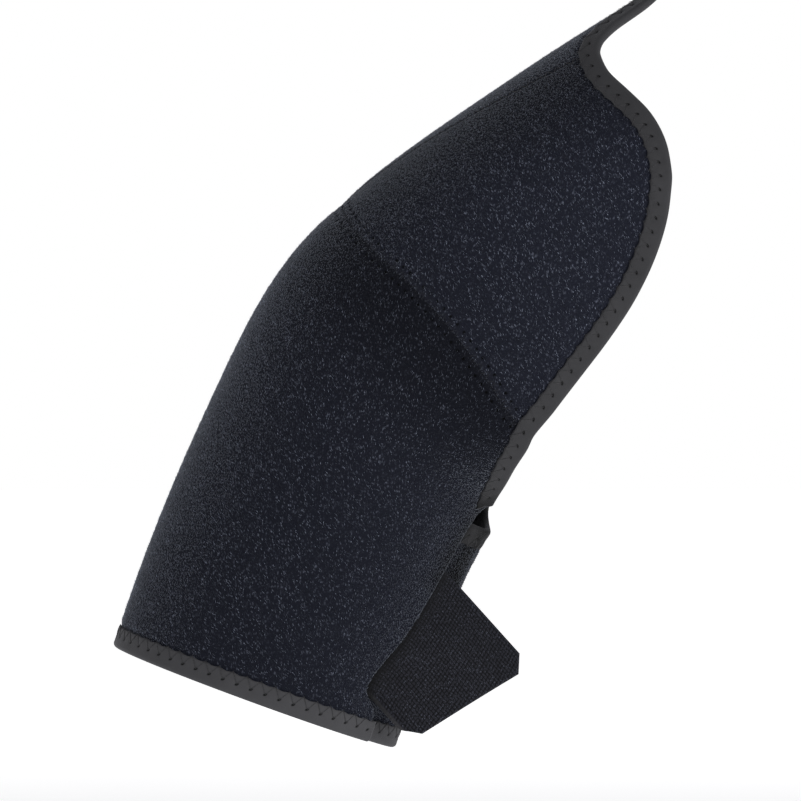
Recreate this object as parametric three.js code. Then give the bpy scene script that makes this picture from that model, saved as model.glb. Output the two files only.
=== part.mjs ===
// A padded sleeve that covers one shoulder and its upper arm, seen as it sits on the wearer.
// X points to the chest's middle, Y to the wearer's back, Z up.
// The origin is the seat on top of the shoulder, at the inner face of the wall.
import * as THREE from 'three';

// Main sizes, in millimetres.
const sleeveLength = 200; // over the outer arm, from the shoulder seam to the cuff
const shoulderLength = 156; // over the top of the shoulder, from the seam to the neck end
const sleeveWidth = 120; // across the upper arm, outer to inner side
const sleeveDepth = 112; // through the shoulder, chest side to back
const wall = 3; // padded cloth
const clearance = 0.3; // between pieces that touch
const tapeSlack = 0.3; // further room inside the folded tape
const seamSink = 0.45; // how far the cloth is drawn in along a seam, on each face
const seamBand = 3; // width of cloth that a seam draws in
const seamDip = 1.5; // shallow valley of the whole wall at the shoulder seam
const seamDipWidth = 9;
const bindingWidth = 8.5; // edge tape, edge to stitched side
const bindingThickness = 1;
const bindingRound = 0.6; // broken corner of the folded tape
const boundWall = 1.3; // cloth squeezed inside the tape
const boundRelease = 0.9; // length over which it springs back to its full thickness
const tabThickness = 2.4;
const tabWidth = 62; // along the sleeve's opening
const tabLength = 54; // free length on its upper side
const tabSkew = 10; // its end is cut this much shorter on the lower side
const tabCorner = 7; // clipped corners of the free end
const tabRoot = 12; // hidden length that is sewn under the front edge
const tabBend = 12; // length over which the tab turns from the sleeve to its pulled direction
const tabStart = 122; // from the shoulder seam down to the tab's upper side
const tabDrop = 48; // degrees that the pulled tab points down
const tabForward = 4; // degrees that it points to the chest side
const lapGap = 1.5 * clearance; // on each side of the tab, between the sleeve's two layers

// Sections of the worn form. along runs from -1 at the cuff, over 0 at the shoulder seam,
// to 1 at the neck end, as a share of the length on that side. heading is the slope of the
// outer line and lean the tilt of the section, in degrees. girth and depth are the section's
// half axes, as shares of the sleeve's width and of its depth.
const sections = [
  { along: -1.0, heading: 71, lean: 20, girth: 0.5, depth: 0.445 },
  { along: -0.85, heading: 69.5, lean: 20.5, girth: 0.5, depth: 0.455 },
  { along: -0.7, heading: 68, lean: 21.5, girth: 0.505, depth: 0.47 },
  { along: -0.55, heading: 66.5, lean: 23.5, girth: 0.51, depth: 0.49 },
  { along: -0.42, heading: 65.5, lean: 26.5, girth: 0.53, depth: 0.51 },
  { along: -0.3, heading: 62, lean: 31, girth: 0.6, depth: 0.53 },
  { along: -0.18, heading: 54, lean: 36.5, girth: 0.675, depth: 0.545 },
  { along: -0.08, heading: 46, lean: 42, girth: 0.715, depth: 0.552 },
  { along: 0, heading: 41.5, lean: 45.5, girth: 0.735, depth: 0.553 },
  { along: 0.13, heading: 38.5, lean: 49, girth: 0.74, depth: 0.545 },
  { along: 0.35, heading: 34.5, lean: 53, girth: 0.74, depth: 0.52 },
  { along: 0.6, heading: 33, lean: 56, girth: 0.72, depth: 0.49 },
  { along: 0.8, heading: 32, lean: 58, girth: 0.7, depth: 0.46 },
  { along: 1.0, heading: 31.5, lean: 59, girth: 0.68, depth: 0.44 },
];

// Lines on the form. around is the angle from the outer line to the chest side, in degrees.
// Three spots are shared: the flank, where the seam meets the edge, and the neck edge's two ends.
const flank = { along: -0.12, around: 115.5 };
const flapCorner = { along: 0.742, around: 78.6 };
const neckNotch = { along: 0.7635, around: 27 };
const shoulderSeam = [
  { along: -0.015, around: -25 },
  { along: 0, around: 0 },
  { along: -0.015, around: 25 },
  { along: -0.022, around: 42 },
  { along: -0.02, around: 60 },
  { along: -0.03, around: 78 },
  { along: -0.06, around: 93 },
  { along: -0.095, around: 104 },
  flank,
];
const ridgeSeam = [
  { along: 0, around: 4 },
  { along: 0.26, around: 12 },
  { along: 0.5, around: 20 },
  neckNotch,
];
const flapEdge = [
  flank,
  { along: -0.02, around: 110.8 },
  { along: 0.17, around: 106.5 },
  { along: 0.33, around: 102.5 },
  { along: 0.465, around: 98.3 },
  { along: 0.578, around: 93 },
  { along: 0.67, around: 86.5 },
  flapCorner,
];
const neckEdge = [
  flapCorner,
  { along: 0.777, around: 70 },
  { along: 0.786, around: 60.5 },
  { along: 0.77, around: 49.5 },
  { along: 0.754, around: 38.5 },
  neckNotch,
];
const neckTongue = [
  neckNotch,
  { along: 0.79, around: 21.8 },
  { along: 0.84, around: 17.6 },
  { along: 0.91, around: 16 },
  { along: 0.955, around: 13.9 },
  { along: 0.988, around: 8 },
  { along: 1.0, around: 0 },
  { along: 0.988, around: -8 },
  { along: 0.955, around: -13.9 },
  { along: 0.91, around: -16 },
  { along: 0.84, around: -17.6 },
  { along: 0.79, around: -21.8 },
  { along: neckNotch.along, around: -neckNotch.around },
];
const armhole = [
  flank,
  { along: -0.22, around: 124 },
  { along: -0.31, around: 135 },
  { along: -0.385, around: 147 },
  { along: -0.43, around: 156 },
  { along: -0.46, around: 167 },
  { along: -0.475, around: 180 },
  { along: -0.485, around: 205 },
  { along: -0.49, around: 235 },
];
// The sleeve's opening on the inner arm: the front edge, and the under layer's far edge.
const openingFront = [
  { along: -1.0, around: 145 },
  { along: -0.94, around: 142 },
  { along: -0.9, around: 134 },
  { along: -0.77, around: 144 },
  { along: -0.6, around: 150 },
  { along: -0.5, around: 149.5 },
  { along: -0.4, around: 150 },
];
const frontCorner = openingFront[openingFront.length - 1].around;
const openingEase = 0.1; // share of the sleeve's length over which the front edge leaves its corner
const lapStart = 180; // where the under layer starts to pass below the front edge
const lapEnd = 207;

// Mesh steps.
const flapSteps = 13;
const neckSteps = 10;
const tongueSteps = 18;
const rungSteps = 6;
const seamSteps = 30;
const frontArmholeSteps = 10;
const backArmholeSteps = 18;
const sleeveSteps = 18;
const tabSteps = 14;
const rootSteps = 3;
const bendSteps = 5;
const spineSteps = 60;
const samplesPerStep = 12; // of a drawn line, before it is cut to equal lengths
const slideSteps = 4;
const nudgeAlong = 0.004; // half steps over which the form's slope is read
const nudgeAround = 0.5;

const rad = THREE.MathUtils.degToRad;
const distanceAlong = share => share * (share < 0 ? sleeveLength : shoulderLength);
const inDirection = (x, y, z) => new THREE.Vector3(x, y, z).normalize();

// Smooth curve through a table's rows, read at a value of its key column.
function readTable(rows, key, column, at) {
  const last = rows.length - 1;
  const rising = rows[last][key] > rows[0][key] ? 1 : -1;
  let i = 0;
  while (i < last - 1 && (at - rows[i + 1][key]) * rising > 0) i += 1;
  const slope = k => {
    const low = rows[Math.max(k - 1, 0)];
    const high = rows[Math.min(k + 1, last)];
    return (high[column] - low[column]) / (high[key] - low[key]);
  };
  const step = rows[i + 1][key] - rows[i][key];
  const t = THREE.MathUtils.clamp((at - rows[i][key]) / step, 0, 1);
  const start = rows[i][column] * (1 + 2 * t) * (1 - t) ** 2 + slope(i) * step * t * (1 - t) ** 2;
  return start + rows[i + 1][column] * t * t * (3 - 2 * t) + slope(i + 1) * step * t * t * (t - 1);
}

// Outer line of the form, added up from the headings on each side of the seam.
const seatLean = rad(sections.find(row => row.along === 0).lean);
const seatLift = inDirection(-Math.cos(seatLean), 0, Math.sin(seatLean)).multiplyScalar(wall + seamDip);

function spineLine(side) {
  const points = [seatLift.clone()];
  const step = distanceAlong(side) / spineSteps;
  for (let i = 0; i < spineSteps; i += 1) {
    const heading = rad(readTable(sections, 'along', 'heading', side * (i + 0.5) / spineSteps));
    const onward = inDirection(Math.cos(heading), 0, Math.sin(heading));
    points.push(points[i].clone().addScaledVector(onward, step));
  }
  return points;
}

const sleeveSpine = spineLine(-1);
const shoulderSpine = spineLine(1);

function spinePoint(along) {
  const points = along < 0 ? sleeveSpine : shoulderSpine;
  const place = Math.min(Math.abs(along), 1) * spineSteps;
  const i = Math.min(Math.floor(place), spineSteps - 1);
  return points[i].clone().lerp(points[i + 1], place - i);
}

// The form: a half axis across and a half axis in depth, set in the leaning section.
function formPoint(along, around) {
  const lean = rad(readTable(sections, 'along', 'lean', along));
  const girth = readTable(sections, 'along', 'girth', along) * sleeveWidth;
  const depth = readTable(sections, 'along', 'depth', along) * sleeveDepth;
  const angle = rad(around);
  const across = girth * (1 - Math.cos(angle));
  const point = spinePoint(along);
  point.x += across * Math.cos(lean);
  point.z -= across * Math.sin(lean);
  point.y -= depth * Math.sin(angle);
  return point;
}

// The form's slopes, per unit of along and per degree of around, and its outward direction.
function formFrame(along, around) {
  const low = Math.max(along - nudgeAlong, -1);
  const high = Math.min(along + nudgeAlong, 1);
  const perAlong = formPoint(high, around).sub(formPoint(low, around)).divideScalar(high - low);
  const [left, right] = [-nudgeAround, nudgeAround].map(step => formPoint(along, around + step));
  const perAround = right.sub(left).divideScalar(2 * nudgeAround);
  const outward = perAround.clone().cross(perAlong).normalize();
  return { perAlong, perAround, outward };
}

// A point of the wall, at a depth below the form, with the seam's valley and the lap taken in.
function wallPoint(spot, depth) {
  const seam = readTable(shoulderSeam, 'around', 'along', Math.min(Math.abs(spot.around), flank.around));
  const off = (distanceAlong(spot.along) - distanceAlong(seam)) / seamDipWidth;
  const lap = THREE.MathUtils.smoothstep(-spot.around, lapStart, lapEnd);
  const lapDepth = wall + 2 * lapGap + tabThickness;
  const sink = depth + seamDip * Math.exp(-off * off) + lap * lapDepth;
  const { outward } = formFrame(spot.along, spot.around);
  return formPoint(spot.along, spot.around).addScaledVector(outward, -sink);
}

// Moves a spot over the surface by a distance in a direction in space.
function slide(spot, direction, distance) {
  const share = distance / slideSteps;
  let { along, around } = spot;
  for (let i = 0; i < slideSteps; i += 1) {
    const { perAlong, perAround } = formFrame(along, around);
    const aa = perAlong.dot(perAlong);
    const ab = perAlong.dot(perAround);
    const bb = perAround.dot(perAround);
    const da = direction.dot(perAlong);
    const db = direction.dot(perAround);
    const det = aa * bb - ab * ab;
    along += (da * bb - db * ab) / det * share;
    around += (db * aa - da * ab) / det * share;
  }
  return { along, around };
}

// Samples a drawn line at equal lengths in space. The curve through its rows is worked out with
// along in hundredths, which are about as long as degrees of around.
function sampleLine(rows, steps) {
  const hundred = 100;
  const drawn = rows.map(row => new THREE.Vector3(row.along * hundred, row.around, 0));
  const curve = new THREE.CatmullRomCurve3(drawn);
  const fine = curve.getPoints(steps * samplesPerStep).map(p => ({ along: p.x / hundred, around: p.y }));
  const lengths = [0];
  for (let i = 1; i < fine.length; i += 1) {
    const here = formPoint(fine[i].along, fine[i].around);
    lengths.push(lengths[i - 1] + here.distanceTo(formPoint(fine[i - 1].along, fine[i - 1].around)));
  }
  const spots = [];
  let k = 0;
  for (let i = 0; i <= steps; i += 1) {
    const target = lengths[lengths.length - 1] * i / steps;
    while (k < fine.length - 2 && lengths[k + 1] < target) k += 1;
    const t = (target - lengths[k]) / (lengths[k + 1] - lengths[k]);
    spots.push({
      along: THREE.MathUtils.lerp(fine[k].along, fine[k + 1].along, t),
      around: THREE.MathUtils.lerp(fine[k].around, fine[k + 1].around, t),
    });
  }
  return spots;
}

// Shifts a line of spots to its inner side, which is to the left when seen from outside.
function shiftLine(spots, distance) {
  return spots.map((spot, i) => {
    const before = spots[Math.max(i - 1, 0)];
    const after = spots[Math.min(i + 1, spots.length - 1)];
    const tangent = formPoint(after.along, after.around).sub(formPoint(before.along, before.around));
    const { outward } = formFrame(spot.along, spot.around);
    return slide(spot, outward.cross(tangent).normalize(), distance);
  });
}

// Distances in from a bound edge: the cloth's own edge, the end of the squeezed band, full wall.
const edgeInset = bindingThickness + clearance;
const squeezeInset = bindingWidth + clearance + 2 * tapeSlack;
const fullInset = squeezeInset + boundRelease;
const squeeze = (wall - boundWall) / 2;

// An outline's end spots move in along the line that crosses it there: at() gives a spot on
// that line for each distance, and the distance is stretched where the crossing is slanted.
// With no crossing line the cloth is cut square to its edge.
function crossingSpot(crossing, inset) {
  const [near, far] = [0, 1].map(crossing.at).map(spot => formPoint(spot.along, spot.around));
  const stretch = 1 / far.sub(near).cross(crossing.tangent).length();
  return crossing.at(inset * stretch);
}

// The edge's direction where two drawn lines meet.
function joinTangent(before, after) {
  const [low, high] = [before, after].map(spot => formPoint(spot.along, spot.around));
  return high.sub(low).normalize();
}

function boundLines(outline, start, end) {
  return [edgeInset, squeezeInset, fullInset].map((inset, k) => {
    const line = shiftLine(outline, inset);
    if (start) line[0] = crossingSpot(start, inset);
    if (end) line[line.length - 1] = crossingSpot(end, inset);
    return line.map(spot => ({ ...spot, press: k < 2 ? squeeze : 0 }));
  });
}

// A sheet is a list of four-cornered faces whose corners are shared spots.
function addGrid(faces, rows) {
  for (let i = 0; i < rows.length - 1; i += 1) {
    for (let j = 0; j < rows[i].length - 1; j += 1) {
      faces.push([rows[i][j], rows[i][j + 1], rows[i + 1][j + 1], rows[i + 1][j]]);
    }
  }
}

function closedBody(positions, triangles) {
  const geometry = new THREE.BufferGeometry();
  geometry.setAttribute('position', new THREE.Float32BufferAttribute(positions, 3));
  geometry.setIndex(triangles);
  geometry.computeVertexNormals();
  return geometry;
}

// Closes a sheet into a wall: outer face, inner face and a rim along every open edge.
function thicken(faces, place, flip) {
  const index = new Map();
  const positions = [];
  for (const corner of faces.flat()) {
    if (!index.has(corner)) {
      index.set(corner, index.size);
      const { outer, inner } = place(corner);
      positions.push(outer.x, outer.y, outer.z, inner.x, inner.y, inner.z);
    }
  }
  const outerOf = corner => 2 * index.get(corner);
  const triangles = [];
  const addTriangle = (a, b, c) => triangles.push(...(flip ? [a, c, b] : [a, b, c]));
  const edges = new Map();
  for (const [a, b, c, d] of faces) {
    for (const [p, q, r] of [[a, b, c], [a, c, d]].map(corners => corners.map(outerOf))) {
      if (p === q || q === r || r === p) continue;
      addTriangle(p, q, r);
      addTriangle(p + 1, r + 1, q + 1);
      for (const [from, to] of [[p, q], [q, r], [r, p]]) {
        if (!edges.delete(`${to}_${from}`)) edges.set(`${from}_${to}`, [from, to]);
      }
    }
  }
  for (const [from, to] of edges.values()) {
    addTriangle(to, from, from + 1);
    addTriangle(to, from + 1, to + 1);
  }
  return closedBody(positions, triangles);
}

const placeInWall = spot => ({
  outer: wallPoint(spot, spot.press),
  inner: wallPoint(spot, wall - spot.press),
});

const mirrorY = ({ outer, inner }) => ({
  outer: outer.setY(-outer.y),
  inner: inner.setY(-inner.y),
});

// Spots along a seam, set back by half the clearance to one side of it.
function seamSpot(around, side) {
  const spot = { along: readTable(shoulderSeam, 'around', 'along', around), around };
  const across = formFrame(spot.along, around).perAlong.normalize();
  return slide(spot, across, side * clearance / 2);
}

function ridgeSpot(along, side) {
  const spot = { along, around: readTable(ridgeSeam, 'along', 'around', along) };
  const across = formFrame(along, spot.around).perAround.normalize();
  return slide(spot, across, side * clearance / 2);
}

// Blends four border lines into a grid of spots.
function patch(start, end, first, last) {
  const m = first.length - 1;
  const n = start.length - 1;
  const mix = (key, i, j) => {
    const v = i / m;
    const u = j / n;
    const sides = (1 - v) * start[j][key] + v * end[j][key] + (1 - u) * first[i][key] + u * last[i][key];
    const near = (1 - v) * ((1 - u) * start[0][key] + u * start[n][key]);
    return sides - near - v * ((1 - u) * end[0][key] + u * end[n][key]);
  };
  return first.map((_, i) => start.map((__, j) => {
    if (j === n) return last[i];
    if (i === m) return end[j];
    const seam = i === 0 || j === 0 ? seamSink : 0;
    return { along: mix('along', i, j), around: mix('around', i, j), press: seam };
  }));
}

// One of the two panels over the shoulder. side is 1 for the chest panel, whose neck edge ends
// at the ridge seam, and -1 for the back panel, which also carries the tongue at the neck.
// Both are drawn on the chest side, and the back panel is then mirrored.
const flankScale = formFrame(flank.along, flank.around).perAround.length();
const seamInset = (inset, side) => seamSpot(flank.around - inset / flankScale, side);
const flankTangent = joinTangent(armhole[1], flapEdge[1]);
const notchTangent = joinTangent(neckEdge[neckEdge.length - 2], neckTongue[1]);

function panelOutline(side) {
  const neck = side > 0 ? [] : sampleLine(neckTongue, tongueSteps).slice(1);
  return [...sampleLine(flapEdge, flapSteps), ...sampleLine(neckEdge, neckSteps).slice(1), ...neck];
}

// The tongue is filled by rungs from one of its sides to the other, up to the tip.
function tongueRungs(core) {
  const line = core.slice(flapSteps + neckSteps);
  const rungs = [];
  for (let k = 0; k < tongueSteps / 2; k += 1) {
    const ends = [line[tongueSteps - k], line[k]];
    const rung = [ends[0]];
    for (let j = 1; j < rungSteps; j += 1) {
      const [along, around] = ['along', 'around'].map(key => (
        THREE.MathUtils.lerp(ends[0][key], ends[1][key], j / rungSteps)
      ));
      rung.push({ along, around, press: 0 });
    }
    rungs.push([...rung, ends[1]]);
  }
  rungs.push(rungs[0].map(() => line[tongueSteps / 2]));
  return rungs;
}

function shoulderPanel(side) {
  const outline = panelOutline(side);
  const onRidge = along => {
    const spot = ridgeSpot(along, side);
    return { along: spot.along, around: spot.around * side };
  };
  const atSeam = { at: inset => seamInset(inset, 1), tangent: flankTangent };
  const atNotch = { at: inset => onRidge(neckNotch.along - inset / shoulderLength), tangent: notchTangent };
  const lines = boundLines(outline, atSeam, atNotch);
  const core = lines[2];
  const last = core.slice(0, flapSteps + 1);
  const rungs = side < 0 ? tongueRungs(core) : [core.slice(flapSteps + neckSteps)];
  const end = [...rungs[0], ...core.slice(flapSteps, flapSteps + neckSteps).reverse()];
  const steps = end.length - 1;
  const seamStart = onRidge(0).around;
  const start = end.map((_, j) => {
    const around = THREE.MathUtils.lerp(seamStart, last[0].around, j / steps);
    const spot = seamSpot(Math.abs(around), 1);
    return { along: spot.along, around };
  });
  const first = last.map((_, i) => onRidge(THREE.MathUtils.lerp(0, end[0].along, i / flapSteps)));
  first[0] = start[0];
  const faces = [];
  addGrid(faces, patch(start, end, first, last));
  addGrid(faces, rungs);
  addGrid(faces, lines);
  const place = side > 0 ? placeInWall : spot => mirrorY(placeInWall(spot));
  return { geometry: thicken(faces, place, side < 0), lines };
}

// The sleeve, one panel. It runs from the opening's front edge over the outer arm and round the
// back, and passes under the front edge.
const openingAt = along => readTable(openingFront, 'along', 'around', along);

function backSpot(spot) {
  return { ...spot, around: -spot.around };
}

function sleeveLines() {
  const corner = { along: readTable(armhole, 'around', 'along', frontCorner), around: frontCorner };
  const frontRows = [corner, ...armhole.filter(row => row.around < frontCorner).reverse()];
  const atSeam = { at: inset => seamInset(inset, -1), tangent: flankTangent };
  const front = boundLines(sampleLine(frontRows, frontArmholeSteps), null, atSeam);
  const back = boundLines(
    sampleLine(armhole, backArmholeSteps).reverse(),
    null,
    atSeam,
  ).map(line => line.reverse().map(backSpot));
  return { front, back };
}

function sleevePanel() {
  const { front, back } = sleeveLines();
  const seam = [];
  const seamEnds = [front[2][frontArmholeSteps], back[2][0]].map(spot => spot.around);
  for (let j = 1; j < seamSteps; j += 1) {
    const around = THREE.MathUtils.lerp(...seamEnds, j / seamSteps);
    const { along } = seamSpot(Math.abs(around), -1);
    seam.push({ along, around, press: seamSink });
  }
  const top = [...front[2], ...seam, ...back[2]];
  const cuffAlong = inset => -1 + inset / sleeveLength;
  const tip = top[0];
  const frontEdge = along => {
    const fade = THREE.MathUtils.smoothstep(along, tip.along - openingEase, tip.along);
    return THREE.MathUtils.lerp(openingAt(along), tip.around, fade);
  };
  const spotDown = (start, along, press) => {
    const turn = start.around > 0 ? frontEdge(along) / tip.around : 1;
    return { along, around: start.around * turn, press };
  };
  const rows = [top];
  for (let i = 1; i <= sleeveSteps; i += 1) {
    const share = i === 1 ? seamBand / sleeveLength : (i - 1) / (sleeveSteps - 1);
    const end = cuffAlong(fullInset);
    rows.push(top.map(start => spotDown(start, THREE.MathUtils.lerp(start.along, end, share), 0)));
  }
  const cuff = [edgeInset, squeezeInset].map(inset => (
    top.map(start => spotDown(start, cuffAlong(inset), squeeze))
  ));
  const faces = [];
  addGrid(faces, [...rows, cuff[1], cuff[0]]);
  addGrid(faces, front);
  addGrid(faces, back);
  return { geometry: thicken(faces, placeInWall, false), front, back, cuff };
}

// Folded tape round a bound edge: a C-shaped section carried along the edge, open to the cloth.
function tape(edge, inside) {
  const middle = ({ outer, inner }) => outer.clone().add(inner).multiplyScalar(0.5);
  const path = edge.map(middle);
  const reach = bindingThickness + clearance;
  const gap = boundWall / 2 + clearance + tapeSlack;
  const half = gap + bindingThickness;
  const leg = bindingWidth - reach;
  const profile = [
    [-leg, half], [reach - bindingRound, half], [reach, half - bindingRound],
    [reach, bindingRound - half], [reach - bindingRound, -half], [-leg, -half],
    [-leg, -gap], [clearance, -gap], [clearance, gap], [-leg, gap],
  ];
  const positions = [];
  path.forEach((point, i) => {
    const before = point.clone().sub(path[Math.max(i - 1, 0)]).normalize();
    const after = path[Math.min(i + 1, path.length - 1)].clone().sub(point).normalize();
    const tangent = before.add(after).normalize();
    const away = point.clone().sub(middle(inside[i]));
    const up = away.cross(tangent).normalize();
    const out = tangent.clone().cross(up);
    for (const [o, n] of profile) {
      positions.push(...point.clone().addScaledVector(out, o).addScaledVector(up, n).toArray());
    }
  });
  const size = profile.length;
  const triangles = [];
  for (let i = 0; i < path.length - 1; i += 1) {
    for (let k = 0; k < size; k += 1) {
      const next = (k + 1) % size;
      const [a, b, c, d] = [i * size + k, i * size + next, (i + 1) * size + next, (i + 1) * size + k];
      triangles.push(a, b, c, a, c, d);
    }
  }
  const contour = profile.map(([o, n]) => new THREE.Vector2(n, o));
  for (const cap of THREE.ShapeUtils.triangulateShape(contour, [])) {
    const [p, q, r] = cap.map(k => contour[k]);
    const turn = (q.x - p.x) * (r.y - p.y) - (q.y - p.y) * (r.x - p.x);
    const [a, b, c] = turn > 0 ? cap : [cap[0], cap[2], cap[1]];
    const far = (path.length - 1) * size;
    triangles.push(a, c, b, far + a, far + b, far + c);
  }
  return closedBody(positions, triangles);
}

// The hook tab: sewn between the opening's two layers and pulled out to the inner side.
function hookTab() {
  const drop = rad(tabDrop);
  const forward = rad(tabForward);
  const pulled = new THREE.Vector3(
    Math.cos(drop) * Math.cos(forward),
    -Math.sin(forward),
    -Math.sin(drop) * Math.cos(forward),
  );
  const middleDepth = wall + lapGap + tabThickness / 2;
  const cornerShare = tabCorner / tabWidth;
  const shares = [0];
  for (let i = 0; i <= tabSteps; i += 1) {
    shares.push(THREE.MathUtils.lerp(cornerShare, 1 - cornerShare, i / tabSteps));
  }
  shares.push(1);
  let start;
  const rows = shares.map(share => {
    const along = -(tabStart + tabWidth * share) / sleeveLength;
    const edge = openingAt(along);
    const { perAround } = formFrame(along, edge);
    const line = [];
    for (let k = rootSteps; k >= 0; k -= 1) {
      const hidden = tabRoot * k / rootSteps / perAround.length();
      line.push(wallPoint({ along, around: edge - hidden }, middleDepth));
    }
    start = start ?? line[rootSteps];
    const leaving = perAround.clone().normalize();
    for (let k = 0; k < bendSteps; k += 1) {
      const turn = THREE.MathUtils.smoothstep((k + 0.5) / bendSteps, 0, 1);
      const step = leaving.clone().lerp(pulled, turn).normalize().multiplyScalar(tabBend / bendSteps);
      line.push(line[line.length - 1].clone().add(step));
    }
    const clip = Math.max(0, 1 - share / cornerShare, 1 - (1 - share) / cornerShare);
    const reach = tabLength - tabSkew * share - tabCorner * clip;
    const bendEnd = line[line.length - 1];
    const left = reach - bendEnd.clone().sub(start).dot(pulled);
    const free = [0.5, 1].map(part => bendEnd.clone().addScaledVector(pulled, left * part));
    return [...line, ...free];
  });
  const spots = rows.map((line, i) => line.map((point, j) => {
    const [before, after] = [Math.max(i - 1, 0), Math.min(i + 1, rows.length - 1)];
    const across = rows[after][j].clone().sub(rows[before][j]);
    const onward = line[Math.min(j + 1, line.length - 1)].clone().sub(line[Math.max(j - 1, 0)]);
    const outward = onward.cross(across).normalize();
    return {
      outer: point.clone().addScaledVector(outward, tabThickness / 2),
      inner: point.clone().addScaledVector(outward, -tabThickness / 2),
    };
  }));
  const faces = [];
  addGrid(faces, spots);
  return thicken(faces, spot => spot, false);
}

const cloth = { color: 0x20222b, roughness: 0.95, metalness: 0 };
const trim = { color: 0x37373b, roughness: 0.8, metalness: 0 };
const hook = { color: 0x1b1c21, roughness: 0.75, metalness: 0 };

const part = new THREE.Group();

function addPiece(name, geometry, look) {
  const mesh = new THREE.Mesh(geometry, new THREE.MeshStandardMaterial(look));
  mesh.name = name;
  part.add(mesh);
}

const sleeve = sleevePanel();
const chest = shoulderPanel(1);
const back = shoulderPanel(-1);
const placeAll = line => line.map(placeInWall);
const placeBack = line => [...line].reverse().slice(1).map(spot => mirrorY(placeInWall(spot)));
const openLine = k => [
  ...placeAll(sleeve.front[k]),
  ...placeAll(chest.lines[k]).slice(1),
  ...placeBack(back.lines[k]).slice(0, -1),
  ...placeAll(sleeve.back[k]),
];
const cuffLine = k => placeAll(sleeve.cuff[k]).reverse();

addPiece('sleeve_panel', sleeve.geometry, cloth);
addPiece('chest_panel', chest.geometry, cloth);
addPiece('back_panel', back.geometry, cloth);
addPiece('edge_binding', tape(openLine(0), openLine(1)), trim);
addPiece('cuff_binding', tape(cuffLine(0), cuffLine(1)), trim);
addPiece('hook_tab', hookTab(), hook);

export default part;
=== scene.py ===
import math
import bpy
import numpy as np
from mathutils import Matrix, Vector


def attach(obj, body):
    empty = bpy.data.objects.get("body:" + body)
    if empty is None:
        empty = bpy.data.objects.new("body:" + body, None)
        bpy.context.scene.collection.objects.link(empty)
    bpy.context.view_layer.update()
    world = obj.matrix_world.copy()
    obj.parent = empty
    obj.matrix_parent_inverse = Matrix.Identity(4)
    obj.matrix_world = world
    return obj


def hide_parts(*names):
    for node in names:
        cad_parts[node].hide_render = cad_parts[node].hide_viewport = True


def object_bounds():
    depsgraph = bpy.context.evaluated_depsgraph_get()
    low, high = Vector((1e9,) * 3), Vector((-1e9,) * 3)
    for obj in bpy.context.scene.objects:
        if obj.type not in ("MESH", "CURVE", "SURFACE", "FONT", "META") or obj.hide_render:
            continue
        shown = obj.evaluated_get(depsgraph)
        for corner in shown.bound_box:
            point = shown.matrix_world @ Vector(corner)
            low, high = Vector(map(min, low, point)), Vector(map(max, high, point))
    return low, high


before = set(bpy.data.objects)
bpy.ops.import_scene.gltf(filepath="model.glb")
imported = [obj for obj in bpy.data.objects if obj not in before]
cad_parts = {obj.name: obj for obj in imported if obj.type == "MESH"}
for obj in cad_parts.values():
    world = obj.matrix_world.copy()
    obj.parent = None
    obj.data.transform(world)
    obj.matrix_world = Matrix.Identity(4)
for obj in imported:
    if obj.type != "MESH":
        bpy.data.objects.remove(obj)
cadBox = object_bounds()
mm = 0.001

# The worn form, as the solids have it. Lengths are in metres and angles in degrees.
form = {
    "sleeveLength": 200 * mm,
    "shoulderLength": 156 * mm,
    "sleeveWidth": 120 * mm,
    "sleeveDepth": 112 * mm,
    "wall": 3 * mm,
    "clearance": 0.3 * mm,
    "seamGap": -0.4 * mm,  # below zero, sewn edges press into each other
    "seatDip": 1.5 * mm,
    "seamDip": 0.5 * mm,  # shallower than in the solids, as the photograph's outline runs on
    "seamDipWidth": 9 * mm,
    "lapStart": 180,
    "lapEnd": 207,
    "layerGap": 30 * mm,  # the outer layer's lines count as this far from the lapped layer
    "layerTurn": (170, 205),
    "lapHidden": (195, 205),  # where the outer layer covers the lapped one
    "spineSteps": 240,
    "ripple": 0.3 * mm,  # soft unevenness of the padded cloth
    "seed": 7,
}
# along (-1 cuff, 0 shoulder seam, 1 neck tip), heading, lean, girth, depth
sections = np.array([
    (-1.0, 71, 20, 0.5, 0.445),
    (-0.85, 69.5, 20.5, 0.5, 0.455),
    (-0.7, 68, 21.5, 0.505, 0.47),
    (-0.55, 66.5, 23.5, 0.51, 0.49),
    (-0.42, 65.5, 26.5, 0.53, 0.51),
    (-0.3, 62, 31, 0.6, 0.53),
    (-0.18, 54, 36.5, 0.675, 0.545),
    (-0.08, 46, 42, 0.715, 0.552),
    (0, 41.5, 45.5, 0.735, 0.553),
    (0.13, 38.5, 49, 0.74, 0.545),
    (0.35, 34.5, 53, 0.74, 0.52),
    (0.6, 33, 56, 0.72, 0.49),
    (0.8, 32, 58, 0.7, 0.46),
    (1.0, 31.5, 59, 0.68, 0.44),
])
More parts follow.
